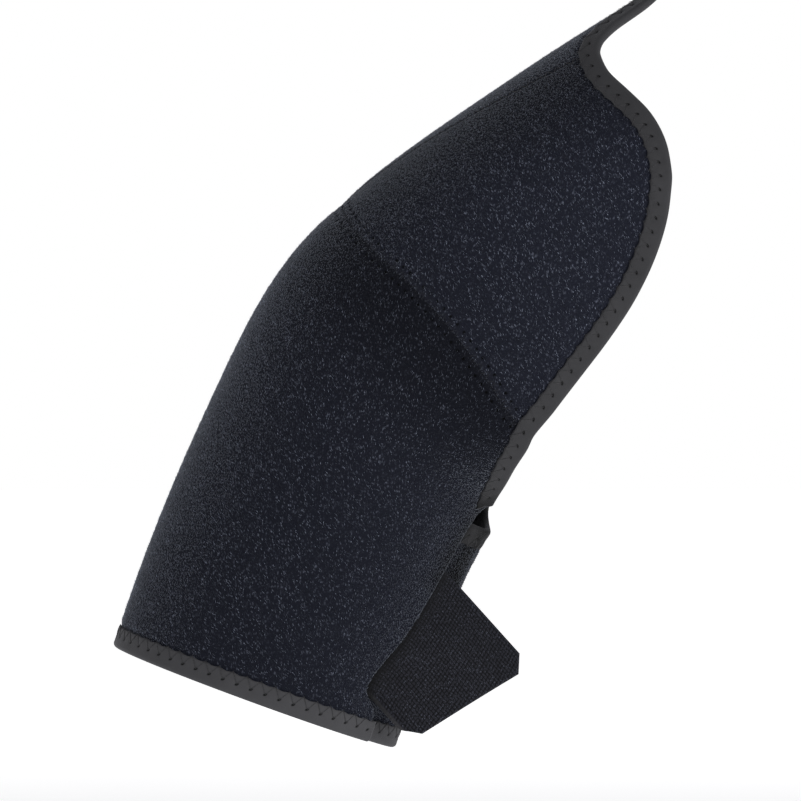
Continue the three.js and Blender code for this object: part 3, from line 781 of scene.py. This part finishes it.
def dim(tree, colour, share):
    # the colour times a plain number
    grey = addNode(tree, "ShaderNodeCombineColor", {0: share, 1: share, 2: share}).outputs[0]
    return mixColour(tree, 1.0, colour, grey, "MULTIPLY")


def markOf(tree, name):
    return addNode(tree, "ShaderNodeAttribute", attribute_name=name).outputs["Fac"]


def surfaceMap(tree):
    # the piece's own lengths, whole and by themselves
    uv = addNode(tree, "ShaderNodeUVMap", uv_map="surface").outputs[0]
    return uv, addNode(tree, "ShaderNodeSeparateXYZ", {0: uv}).outputs


def finish(tree, shader, colour, height, distance, strength=0.8):
    # colour and relief into the shader
    tree.links.new(colour, shader.inputs["Base Color"])
    sockets = {"Height": height, "Distance": distance, "Strength": strength}
    bump = addNode(tree, "ShaderNodeBump", sockets)
    tree.links.new(bump.outputs[0], shader.inputs["Normal"])


pileLook = {
    "base": (0.0110, 0.0124, 0.0200, 1),
    # the pale specks of fibre over the dark base are painted glints
    "fibre": (0.095, 0.105, 0.140, 1),
    "fineFibre": (0.040, 0.044, 0.060, 1),
    "liner": (0.034, 0.034, 0.038, 1),
    "strip": (0.020, 0.021, 0.026, 1),
    "hole": (0.0012, 0.0012, 0.0014, 1),
    # painted light and shade: each panel brightened where it faces the light, and the pile darkened
    # near the shoulder seam and near the ridge, where it faces up, away from the light
    "lightGain": {"sleeveCloth": 1.0, "chestCloth": 1.35, "backCloth": 1.1},
    "shadeNearSeam": {"sleeveCloth": 0.58, "chestCloth": 0.85, "backCloth": 0.85},
    "nearBand": (4 * mm, 55 * mm),
    "shadeNearRidge": {"sleeveCloth": 1.0, "chestCloth": 0.45, "backCloth": 0.8},
    "ridgeBand": (0, 55 * mm),
    "coarseSize": 1.15 * mm,
    "fineSize": 0.62 * mm,
    "nap": -24,  # degrees that the fine fibres are turned, and how far they stray
    "bend": 2.2 * mm,
    "stripShare": 0.15,
    "knitPitch": 0.9 * mm,  # of the liner
    "relief": 0.28 * mm,
}


def pileMaterial(name):
    material, tree, shader = newMaterial(name + "Pile", {
        "Roughness": 0.9, "Specular IOR Level": 0.1, "Sheen Weight": 0.5,
        "Sheen Roughness": 0.28, "Sheen Tint": (0.8, 0.87, 1.0, 1),
    })
    uv = addNode(tree, "ShaderNodeUVMap", uv_map="surface").outputs[0]
    sockets = {"Vector": uv, "Angle": math.radians(pileLook["nap"])}
    napped = addNode(tree, "ShaderNodeVectorRotate", sockets, rotation_type="Z_AXIS").outputs[0]
    sockets = {0: noise(tree, uv, 260.0, 2.0)["Color"], 1: [pileLook["bend"]] * 3, 2: napped}
    bent = addNode(tree, "ShaderNodeVectorMath", sockets, operation="MULTIPLY_ADD").outputs[0]
    coarse = useGroup(tree, "fibre", {
        "Vector": bent, "Size": pileLook["coarseSize"], "Stretch": 1.7, "Share": 0.62,
    })
    fine = useGroup(tree, "fibre", {
        "Vector": bent, "Size": pileLook["fineSize"], "Stretch": 1.9, "Share": 0.95,
    })
    drift = useGroup(tree, "drift", {"Vector": uv, "Scale": 38.0, "Amount": 0.35})["Tone"]
    liner = ramp(tree, markOf(tree, "liner"), 0.45, 0.55)
    # pale fibre specks over the dark base: painted glints
    colour = mixColour(tree, fine["Mask"], pileLook["base"], pileLook["fineFibre"])
    colour = mixColour(tree, times(tree, coarse["Mask"], drift), colour, pileLook["fibre"])
    seam = markOf(tree, "seamAcross")
    row = cloth["rowOffset"]
    strip = times(tree, ramp(tree, seam, row, row - 1.2 * mm), pileLook["stripShare"])
    colour = mixColour(tree, strip, colour, pileLook["strip"])
    holes = useGroup(tree, "hole", {
        "Along": markOf(tree, "seamAlong"), "Across": seam, "Pitch": cloth["needlePitch"],
        "Row": row, "Radius": cloth["needleRadius"],
    })["Mask"]
    colour = mixColour(tree, holes, colour, pileLook["hole"])
    colour = mixColour(tree, liner, colour, pileLook["liner"])
    # painted light and shade: darker near the seam and the ridge, and the panel brightened
    near = ramp(tree, seam, *pileLook["nearBand"], pileLook["shadeNearSeam"][name], 1.0)
    ridge = markOf(tree, "ridgeAcross")
    ridge = ramp(tree, ridge, *pileLook["ridgeBand"], pileLook["shadeNearRidge"][name], 1.0)
    near = times(tree, times(tree, near, ridge), pileLook["lightGain"][name])
    # painted shade under the arm dims the colour as well
    colour = dim(tree, colour, times(tree, near, markOf(tree, "underarmShade")))
    fuzz = noise(tree, uv, 900.0, 3.0)["Fac"]
    knit = useGroup(tree, "weave", {"Vector": uv, "Pitch": pileLook["knitPitch"]})["Height"]
    nap = plus(tree, times(tree, coarse["Height"], 0.5), plus(tree, fine["Height"], fuzz))
    outside = times(tree, nap, minus(tree, 1.0, liner))
    height = plus(tree, outside, times(tree, knit, times(tree, liner, 0.4)))
    finish(tree, shader, colour, height, pileLook["relief"])
    return material


fibreLook = {
    "dark": (0.012, 0.013, 0.020, 1),
    # the bright end is painted glint on the fibres
    "bright": (0.66, 0.74, 0.95, 1),
    "power": 3.2,  # higher leaves fewer bright fibres
}


def fibreMaterial():
    material, tree, shader = newMaterial("fibreWithPaintedGlint", {"Roughness": 0.5, "Specular IOR Level": 0.25})
    # painted glints: chance to a power, faded toward the root, and dimmed by the painted shade of the
    # fibre's place
    bright = maths(tree, "POWER", markOf(tree, "shade"), fibreLook["power"])
    tone = times(tree, bright, ramp(tree, markOf(tree, "tip"), -0.2, 0.6))
    colour = mixColour(tree, tone, fibreLook["dark"], fibreLook["bright"])
    tree.links.new(colour, shader.inputs["Base Color"])
    return material


tapeLook = {
    "base": (0.060, 0.060, 0.064, 1),
    "gap": (0.032, 0.032, 0.034, 1),
    "hole": (0.002, 0.002, 0.002, 1),
    "pitch": 0.42 * mm,
    "relief": 0.06 * mm,
}


def tapeMaterial(name, pitch, tone):
    material, tree, shader = newMaterial(name, {
        "Roughness": 0.72, "Specular IOR Level": 0.12, "Sheen Weight": 0.16, "Sheen Roughness": 0.3,
        "Sheen Tint": (0.9, 0.92, 1.0, 1),
    })
    uv, place = surfaceMap(tree)
    weave = useGroup(tree, "weave", {"Vector": uv, "Pitch": tapeLook["pitch"]})
    drift = useGroup(tree, "drift", {"Vector": uv, "Scale": 55.0, "Amount": 0.22})["Tone"]
    drift = times(tree, drift, tone)
    gap = times(tree, weave["Gap"], 0.6)
    colour = mixColour(tree, gap, tapeLook["base"], tapeLook["gap"])
    # painted shade under the arm dims the tape, with its slow patches and tone
    colour = dim(tree, colour, times(tree, drift, markOf(tree, "underarmShade")))
    holes = useGroup(tree, "hole", {
        "Along": place[0], "Across": place[1], "Pitch": pitch, "Row": tape["holeRow"],
        "Radius": tape["holeRadius"], "Slant": 0.6,
    })["Mask"]
    colour = mixColour(tree, holes, colour, tapeLook["hole"])
    fuzz = noise(tree, uv, 1500.0, 3.0)["Fac"]
    height = plus(tree, weave["Height"], times(tree, fuzz, 0.8))
    finish(tree, shader, colour, height, tapeLook["relief"], 0.7)
    return material


def threadMaterial(name, base, bright):
    material, tree, shader = newMaterial(name, {
        "Roughness": 0.7, "Specular IOR Level": 0.15, "Sheen Weight": 0.05, "Sheen Roughness": 0.4,
    })
    place = surfaceMap(tree)[1]
    twist = plus(tree, times(tree, place[0], thread["twist"]), times(tree, place[1], 6.28))
    strand = maths(tree, "ABSOLUTE", maths(tree, "SINE", twist))
    finish(tree, shader, mixColour(tree, strand, base, bright), strand, thread["relief"])
    return material


tabLook = {
    "base": (0.0035, 0.0035, 0.0046, 1),
    "thread": (0.024, 0.025, 0.033, 1),
    "gap": (0.0012, 0.0012, 0.0016, 1),
    "hem": (0.045, 0.045, 0.050, 1),
    "glint": (0.22, 0.24, 0.32, 1),
    "rootShade": 0.12,  # painted shadow beside the sleeve, and how far past the root it fades
    "rootFade": (1 * mm, 10 * mm),
    "speckSize": 0.7 * mm,
    "relief": 0.16 * mm,
}


def tabMaterial():
    material, tree, shader = newMaterial("wovenTab", {
        "Roughness": 0.7, "Specular IOR Level": 0.15, "Sheen Weight": 0.03, "Sheen Roughness": 0.5,
        "Sheen Tint": (0.8, 0.85, 1.0, 1),
    })
    uv, place = surfaceMap(tree)
    weave = useGroup(tree, "weave", {"Vector": uv, "Pitch": tab["weavePitch"]})
    sockets = {"Vector": uv, "Size": tabLook["speckSize"], "Stretch": 1.3, "Share": 0.7}
    specks = useGroup(tree, "fibre", sockets)
    drift = useGroup(tree, "drift", {"Vector": uv, "Scale": 60.0, "Amount": 0.3})["Tone"]
    colour = mixColour(tree, weave["Height"], tabLook["base"], tabLook["thread"])
    colour = mixColour(tree, weave["Gap"], colour, tabLook["gap"])
    colour = mixColour(tree, times(tree, specks["Mask"], 0.5), colour, tabLook["glint"])
    hemStart = tab["width"] - tab["hem"]
    hem = ramp(tree, place[0], hemStart, hemStart + 0.8 * mm)
    colour = mixColour(tree, hem, colour, tabLook["hem"])
    rootEnds = (tab["root"] + off for off in tabLook["rootFade"])
    # painted shadow where the tab goes in under the sleeve's edge
    root = ramp(tree, place[1], *rootEnds, tabLook["rootShade"], 1.0)
    colour = dim(tree, colour, times(tree, drift, root))
    height = plus(tree, weave["Height"], times(tree, specks["Height"], 0.5))
    finish(tree, shader, colour, height, tabLook["relief"])
    return material


materials = {
    "sleeveCloth": pileMaterial("sleeveCloth"),
    "chestCloth": pileMaterial("chestCloth"),
    "backCloth": pileMaterial("backCloth"),
    "fibre": fibreMaterial(),
    "edgeTape": tapeMaterial("edgeTape", tape["pitch"], 0.95),
    "cuffTape": tapeMaterial("cuffTape", tape["cuffPitch"], 1.35),
    "tapeThread": threadMaterial("tapeThread", (0.036, 0.036, 0.039, 1), (0.064, 0.064, 0.068, 1)),
    "seamThread": threadMaterial("seamThread", (0.012, 0.013, 0.018, 1), (0.032, 0.034, 0.042, 1)),
    "tab": tabMaterial(),
}
print("materials ready")


def coons(start, end, first, last, u, v):
    # border lines blended: both pairs of opposite sides, less the corners counted twice
    made = []
    for k in (0, 1):
        s, e, f, l = start[k][None], end[k][None], first[k][:, None], last[k][:, None]
        uu, vv = u[None], v[:, None]
        low, high = ((1 - uu) * side[:, :1] + uu * side[:, -1:] for side in (s, e))
        corners = (1 - vv) * low + vv * high
        made.append((1 - vv) * s + vv * e + (1 - uu) * f + uu * l - corners)
    return made


def panelShares(length):
    # rows over a panel, fine beside both of its ends
    band = cloth["fineBand"]
    return gradedShares(length, cloth["fineStep"], cloth["coarseStep"], band, band)


def shoulderPanel(name, side):
    # spots blended between the seam, the ridge, the neck and the outer edge, with a grid for the tongue
    outline = chestOutline if side > 0 else backOutline
    flapEnd, neckEnd = lineSteps["flap"], lineSteps["flap"] + lineSteps["neck"]
    flap = [line[:flapEnd + 1] for line in outline]
    neck = [line[flapEnd:neckEnd + 1] for line in outline]
    ridgeEnd = neckNotch[0] - tape["inset"] / form["shoulderLength"]
    along, around = ridgeSpots(np.array([0.0, ridgeEnd]), side)
    around = around * side
    halfSeam = math.radians(flank[1]) * form["sleeveDepth"] * cloth["panelGirth"]
    count = int(halfSeam / cloth["columnStep"])
    u = np.linspace(0, 1, count + 1)
    v = panelShares(lineLength(flap))
    if side > 0:
        end = resample(turned(neck), u)
        extra = None
    else:
        tongue = [line[neckEnd:] for line in outline]
        rungCount = int(count * cloth["tongueShare"])
        rung = np.linspace(0, 1, rungCount + 1)
        rise = lineLength(tongue) / 2
        up = gradedShares(rise, cloth["fineStep"], cloth["tongueStep"], cloth["fineBand"], 0) / 2
        left, right = resample(tongue, 1 - up), resample(tongue, up)
        extra = [left[k][:, None] * (1 - rung) + right[k][:, None] * rung for k in (0, 1)]
        neckPart = resample(turned(neck), np.linspace(0, 1, count - rungCount + 1))
        end = joinLines((extra[0][0], extra[1][0]), neckPart)
    last = resample(flap, v)
    start = seamSpots(around[0] + (last[1][0] - around[0]) * u, 1)
    ridgeAlong = start[0][0] + (end[0][0] - start[0][0]) * v
    first = ridgeSpots(ridgeAlong, side)
    first = first[0], first[1] * side
    first[1][0], first[1][-1] = start[1][0], end[1][0]
    last[0][0], last[1][0] = start[0][-1], start[1][-1]
    last[0][-1], last[1][-1] = end[0][-1], end[1][-1]
    grid = coons(start, end, first, last, u, v)
    quads = gridQuads(len(v), len(u))
    along, around = grid[0].ravel(), grid[1].ravel()
    if extra:
        quads = np.concatenate([quads, gridQuads(len(extra[0]), rungCount + 1, len(along))])
        along = np.concatenate([along, extra[0].ravel()])
        around = np.concatenate([around, extra[1].ravel()])
    around = around * side
    return clothPiece(name, along, around, quads, flip=side < 0, uv=clothUv(along, around))


def sleevePiece():
    # along runs straight from the top line to the cuff; around is scaled to meet the opening's edge
    seamLine = seamSpots(np.linspace(flank[1], -flank[1], lineSteps["seam"]), -1)
    top = joinLines(frontArmhole, seamLine, backArmhole)
    columns = np.linspace(0, 1, int(lineLength(top) / cloth["columnStep"]))
    topAlong, topAround = resample(top, columns)
    share = panelShares(form["sleeveLength"] * 0.9)[:, None]
    along = topAlong * (1 - share) + (tape["inset"] / form["sleeveLength"] - 1) * share
    turn = np.where(topAround > 0, frontEdgeAt(along) / topAround[0], 1)
    around = topAround * turn
    quads = gridQuads(*along.shape)
    cuts = [layered(along[:, k], around[:, k]) for k in (0, -1)]
    flat = along.ravel(), around.ravel()
    pieces = clothPiece("sleeveCloth", *flat, quads, cuts, uv=clothUv(*flat))
    return *pieces, along, around


def tapeUnderarmShade(line, at):
    # the painted shade under the arm at each station of a tape
    spots = layered(*line)
    lengths = cumulative(spots)
    return np.interp(at * lengths[-1] / at[-1], lengths, underarmShadeAt(spots))


def readColumns(at, lengths, values):
    # each column read off at the given lengths
    return np.stack([np.interp(at, lengths, column) for column in values.T], axis=1)


def tapePath(line, inward):
    # middle of the bound cloth, with the way out of it and the wall's normal
    points = formPoint(*line) - outwardAt(*line) * (wallDepth(*line) + form["wall"] / 2)[:, None]
    lengths = cumulative(points)
    at = np.linspace(0, lengths[-1], int(lengths[-1] / tape["step"]) + 1)
    points, away = readColumns(at, lengths, points), readColumns(at, lengths, -inward)
    for _ in range(tape["smoothing"]):
        points[1:-1] = (points[:-2] + 2 * points[1:-1] + points[2:]) / 4
    tangent = unit(np.gradient(points, axis=0))
    away = unit(away - (away * tangent).sum(1)[:, None] * tangent)
    for _ in range(6):
        away[1:-1] = unit(away[:-2] + 2 * away[1:-1] + away[2:])
    normal = unit(np.cross(away, tangent))
    return points, away, normal, at


def lineInward(line):
    # across the line on the form: its normal crossed with the line's run
    points = formPoint(*line)
    return unit(np.cross(outwardAt(*line), np.gradient(points, axis=0)))


def tapeSection():
    # half of the folded tape's middle line: straight leg, then a quarter round the edge; then mirrored
    inner = tape["reach"] - tape["width"]
    centre = tape["reach"] - tape["half"] - tape["thickness"] / 2
    leg = np.linspace(inner, centre, tape["legSteps"])[:-1]
    angle = np.linspace(math.pi / 2, -math.pi / 2, 2 * tape["arcSteps"] + 1)
    o = np.concatenate([leg, centre + tape["half"] * np.cos(angle), leg[::-1]])
    level = np.ones(len(leg))
    n = tape["half"] * np.concatenate([level, np.sin(angle), -level])
    line = np.stack([o, n], axis=1)
    tangent = unit(np.gradient(line, axis=0))
    return o, n, -tangent[:, 1], tangent[:, 0], cumulative(line)


def tapePiece(name, line, material, pitch, past=0.0):
    # middle + outward * o + normal * n, with o and n from the folded section, dented at the needles
    # and waved by a cosine at the legs' edges
    points, away, normal, at = tapePath(line, lineInward(line))
    points = points + away * past
    o, n, outO, outN, run = tapeSection()
    total = run[-1]
    across = np.minimum(run, total - run)[None]
    place = at[:, None]
    dent = holeMask(place, across, pitch, tape["holeRow"], tape["holeRadius"] * 1.25)
    scallop = np.cos(2 * math.pi * place / pitch)
    edge = 1 - smoothstep(across, 0, 3.2 * mm)
    shiftO = tape["wave"] * scallop * edge
    lift = -tape["holeDepth"] * dent - tape["sag"] * edge + tape["sag"] * scallop * edge
    flatO, flatN = o[None] + shiftO + outO[None] * lift, n[None] + outN[None] * lift
    faces = []
    for half in (tape["thickness"] / 2, -tape["thickness"] / 2):
        onward, upward = flatO + outO[None] * half, flatN + outN[None] * half
        spots = points[:, None] + away[:, None] * onward[..., None]
        spots = spots + normal[:, None] * upward[..., None]
        faces.append(spots.reshape(-1, 3))
    quads = gridQuads(len(at), len(o))
    made, faces, first = closeSheet(*faces, quads)
    uv = np.stack(np.broadcast_arrays(place, across), axis=-1).reshape(-1, 2)[first]
    # the painted shade under the arm, kept as a mark
    marks = {"underarmShade": twice(np.repeat(tapeUnderarmShade(line, at), len(o))[first])}
    piece = makePiece(name, made, faces, material, twice(uv), marks)
    return piece, points, away, normal, at


def tubePiece(name, path, material):
    # a round section carried along each run of points; runs are rows of one array
    runs, count, _ = path.shape
    tangent = unit(np.gradient(path, axis=1))
    side = unit(np.cross(tangent, np.array([0.31, 0.52, 0.8])))
    up = np.cross(tangent, side)
    angle = np.linspace(0, 2 * math.pi, thread["sides"], endpoint=False)
    swell = np.sin(np.linspace(0.18, math.pi - 0.18, count)) ** 0.5
    ring = side[:, :, None] * np.cos(angle)[:, None] + up[:, :, None] * np.sin(angle)[:, None]
    rings = path[:, :, None] + ring * (thread["radius"] * swell)[None, :, None, None]
    sides = thread["sides"]
    i, j = np.meshgrid(np.arange(count - 1), np.arange(sides), indexing="ij")
    a, b = i * sides + j, i * sides + (j + 1) % sides
    quads = np.stack([a, b, b + sides, a + sides], axis=-1).reshape(-1, 4)
    body = np.concatenate([quads[:, [0, 1, 2]], quads[:, [0, 2, 3]]])
    fan = np.stack([np.zeros(sides - 2, int), np.arange(1, sides - 1), np.arange(2, sides)], axis=1)
    caps = np.concatenate([fan[:, ::-1], fan + (count - 1) * sides])
    each = np.concatenate([body, caps])
    faces = (each[None] + (np.arange(runs) * count * sides)[:, None, None]).reshape(-1, 3)
    u = np.broadcast_to(np.arange(count)[None, :, None] * 0.4 * mm, (runs, count, sides))
    v = np.broadcast_to(np.arange(sides)[None, None] / sides, (runs, count, sides))
    uv = np.stack([u, v], axis=-1).reshape(-1, 2)
    return makePiece(name, rings.reshape(-1, 3), faces, material, uv)


def zigzag(ends):
    # straight runs between the given ends, each bowed up a little in its middle
    a, b, lift = ends
    t = np.linspace(0, 1, thread["spans"])[None, :, None]
    bow = np.sin(math.pi * t) * thread["radius"]
    return a[:, None] * (1 - t) + b[:, None] * t + lift[:, None] * (bow - thread["sink"])


def tapeThread(name, rail, pitch):
    # a zigzag from the needle row to the tape's inner edge and back, on both faces
    points, away, normal, at = rail
    half = tape["half"] + tape["thickness"] / 2
    count = int(at[-1] / pitch) - 1
    corner = (np.arange(2 * count) + 2) * pitch / 2
    p, a, n = (readColumns(corner, at, values) for values in (points, away, normal))
    inner = tape["reach"] - tape["width"]
    even = (np.arange(2 * count) % 2 == 0)[:, None]
    o = np.where(even, inner + tape["holeRow"], inner - thread["overlap"])
    runs = []
    for sign in (1, -1):
        spots = p + a * o + n * sign * half
        runs.append(zigzag((spots[:-1], spots[1:], n[:-1] * sign)))
    return tubePiece(name, np.concatenate(runs), materials["tapeThread"])


def stitchShares(length, pitch):
    # shares of the length at whole steps of the pitch
    return np.arange(1, int(length / pitch)) * pitch / length


def seamThread(name, spots, row, material, across):
    # a zigzag over the seam, with its corners in turn on both sides of the given spots
    along, around = spots
    perAlong, perAround = slopesAt(along, around)
    direction = unit(perAlong if across == "along" else perAround)
    sign = np.where(np.arange(len(along)) % 2 == 0, 1.0, -1.0)
    spots = slide(along, around, direction, sign * row)
    outer = clothSurface(*spots)[0]
    outward = outwardAt(*spots)
    runs = zigzag((outer[:-1], outer[1:], outward[:-1] + outward[1:]))
    return tubePiece(name, runs, material)


def tabPiece():
    # rows lie under the wall, turn smoothly to the pull and run straight; the half thickness falls
    # as a circle at the edges and swells by sin * sin at the knots
    drop, forward = math.radians(tab["drop"]), math.radians(tab["forward"])
    pulled = np.array([
        math.cos(drop) * math.cos(forward), -math.sin(forward), -math.sin(drop) * math.cos(forward),
    ])
    columns = int(tab["width"] / tab["step"])
    share = np.linspace(0, 1, columns + 1)
    along = -(tab["start"] + tab["width"] * share) / form["sleeveLength"]
    edge = readTable(openingFront, 1, along)
    _, perAround = slopesAt(along, edge)
    perDegree = np.linalg.norm(perAround, axis=1)
    middle = form["wall"] + 1.5 * form["clearance"] + tab["thickness"] / 2
    rootShares = np.linspace(1, 0, int(tab["root"] / tab["step"] / 2))
    around = edge[None] - tab["root"] * rootShares[:, None] / perDegree
    spots = np.broadcast_to(along, around.shape), around
    root = formPoint(*spots) - outwardAt(*spots) * (wallDepth(*spots) + middle)[..., None]
    lines = list(root)
    leaving = unit(perAround)
    for k in range(tab["bendSteps"]):
        turn = smoothstep((k + 0.5) / tab["bendSteps"], 0, 1)
        step = unit(leaving * (1 - turn) + pulled * turn) * tab["bend"] / tab["bendSteps"]
        lines.append(lines[-1] + step)
    cornerShare = tab["corner"] / tab["width"]
    clip = np.maximum(0, np.maximum(1 - share / cornerShare, 1 - (1 - share) / cornerShare))
    reach = tab["length"] - tab["skew"] * share - tab["corner"] * clip
    left = reach - ((lines[-1] - root[-1, 0]) * pulled).sum(1)
    free = np.linspace(0, 1, int(tab["length"] * 0.8 / tab["step"]))[1:, None, None]
    far = lines[-1][None] + pulled * left[:, None] * free
    grid = np.concatenate([np.array(lines), far])
    outward = unit(np.cross(np.gradient(grid, axis=0), np.gradient(grid, axis=1)))
    gaps = np.linalg.norm(np.diff(grid, axis=0), axis=2)
    run = np.concatenate([np.zeros((1, columns + 1)), np.cumsum(gaps, axis=0)])
    side = np.minimum(share, 1 - share)[None] * tab["width"]
    off = np.clip(np.minimum(side, run[-1] - run) / tab["edgeRound"], 0, 1)
    half = tab["thickness"] / 2 * (0.25 + 0.75 * np.sqrt(1 - (1 - off) ** 2))
    u = np.broadcast_to(share[None] * tab["width"], run.shape)
    knots = np.sin(2 * math.pi * u / tab["weavePitch"]) * np.sin(2 * math.pi * run / tab["weavePitch"])
    half = half + tab["weaveDepth"] * knots * off
    outer = (grid + outward * half[..., None]).reshape(-1, 3)
    inner = (grid - outward * half[..., None]).reshape(-1, 3)
    made, faces, first = closeSheet(outer, inner, gridQuads(*run.shape))
    uv = np.stack([u, run], axis=-1).reshape(-1, 2)[first]
    return makePiece("wovenTab", made, faces, materials["tab"], twice(uv))


# The pieces.
sleeveCloth, sleevePile, sleeveAlong, sleeveAround = sleevePiece()
chestCloth, chestPile = shoulderPanel("chestCloth", 1)
backCloth, backPile = shoulderPanel("backCloth", -1)
edgeTape, *edgeRail = tapePiece("edgeTape", openEdge, materials["edgeTape"], tape["pitch"])
cuffLine = sleeveAlong[-1][::-1], sleeveAround[-1][::-1]
cuffTape, *cuffRail = tapePiece(
    "cuffTape", cuffLine, materials["cuffTape"], tape["cuffPitch"], tape["cuffPast"]
)
edgeThread = tapeThread("edgeThread", edgeRail, tape["pitch"])
cuffThread = tapeThread("cuffThread", cuffRail, tape["cuffPitch"])
wovenTab = tabPiece()
stitch = cloth["needlePitch"] / 2
seamLengths = cumulative(seamPoints)
share = stitchShares(seamLengths[-1], stitch)
seamPlaces = np.interp(share * seamLengths[-1], seamLengths, seamAround)
shoulderThread = seamThread(
    "shoulderThread", seamSpots(seamPlaces, 0), cloth["threadRow"], materials["seamThread"], "along"
)
ridgePlaces = stitchShares(cumulative(ridgePoints)[-1], stitch) * neckNotch[0]
ridgeThread = seamThread(
    "ridgeThread", ridgeSpots(ridgePlaces, 0), cloth["ridgeRow"], materials["tapeThread"], "around"
)

for piece, node, slot in (
    (sleeveCloth, "sleeve_panel", "cloth"),
    (chestCloth, "chest_panel", "cloth"),
    (backCloth, "back_panel", "cloth"),
    (edgeTape, "edge_binding", "trim"),
    (cuffTape, "cuff_binding", "trim"),
    (wovenTab, "hook_tab", "hook"),
):
    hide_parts(node)

# The studio: pale floor, soft white light all round, and the photograph's long level view.
studio = {
    "backdrop": (1, 1, 1, 1),
    "fill": (0.3, 0.3, 0.31, 1),
    "nearFloor": (0.42, 0.42, 0.42, 1),
    "farFloor": (0.75, 0.75, 0.75, 1),
    "floorReach": 12.0,
    "floorGap": 60 * mm,
    "lights": (
        ("leftSoft", (-1.4, 0.4, -0.5), 1.0, 15.0),
        ("rightSoft", (1.3, -1.2, -0.2), 1.0, 19.0),
        ("floorWash", (0.2, 0.9, 1.1), 0.9, 4.0),
    ),
}
photo = {"side": 801, "scale": 0.4 * mm, "originX": 348.6, "originY": 212, "lens": 300}


def buildStudio():
    scene = bpy.context.scene
    scene.view_settings.view_transform = "Standard"
    world = bpy.data.worlds.new("softWhite")
    scene.world = world
    world.use_nodes = True
    tree = world.node_tree
    background = tree.nodes["Background"]
    seen = addNode(tree, "ShaderNodeLightPath").outputs["Is Camera Ray"]
    glow = mixColour(tree, seen, studio["fill"], studio["backdrop"])
    tree.links.new(glow, background.inputs["Color"])
    floorMesh = bpy.data.meshes.new("floor")
    reach, level = studio["floorReach"], cadBox[0][2] - studio["floorGap"]
    corners = [(x * reach, y * reach, level) for x, y in ((-1, -1), (1, -1), (1, 1), (-1, 1))]
    floorMesh.from_pydata(corners, [], [(0, 1, 2, 3)])
    floor = bpy.data.objects.new("floor", floorMesh)
    scene.collection.objects.link(floor)
    material, tree, shader = newMaterial("paleFloor", {
        "Roughness": 0.9, "Base Color": (0.94, 0.94, 0.94, 1), "Emission Strength": 1.0,
    })
    place = addNode(tree, "ShaderNodeTexCoord").outputs["Object"]
    away = addNode(tree, "ShaderNodeVectorMath", {0: place}, operation="LENGTH").outputs["Value"]
    far = ramp(tree, away, 0.35, 1.6)
    glow = mixColour(tree, far, studio["nearFloor"], studio["farFloor"])
    tree.links.new(glow, shader.inputs["Emission Color"])
    floorMesh.materials.append(material)
    for name, place, size, power in studio["lights"]:
        data = bpy.data.lights.new(name, "AREA")
        data.shape, data.size, data.energy = "SQUARE", size, power
        lamp = bpy.data.objects.new(name, data)
        scene.collection.objects.link(lamp)
        lamp.location = place
        lamp.rotation_mode = "QUATERNION"
        lamp.rotation_quaternion = lamp.location.to_track_quat("Z", "Y")
    data = bpy.data.cameras.new("view")
    camera = bpy.data.objects.new("view", data)
    scene.collection.objects.link(camera)
    data.lens, data.sensor_width = photo["lens"], 36
    width = photo["side"] * photo["scale"]
    middle = photo["side"] / 2
    camera.location = (
        (middle - photo["originX"]) * photo["scale"],
        -width * data.lens / data.sensor_width,
        (photo["originY"] - middle) * photo["scale"],
    )
    camera.rotation_euler = (math.pi / 2, 0, 0)
    data.clip_start, data.clip_end = 0.05, 60
    scene.camera = camera


buildStudio()
print("studio ready")
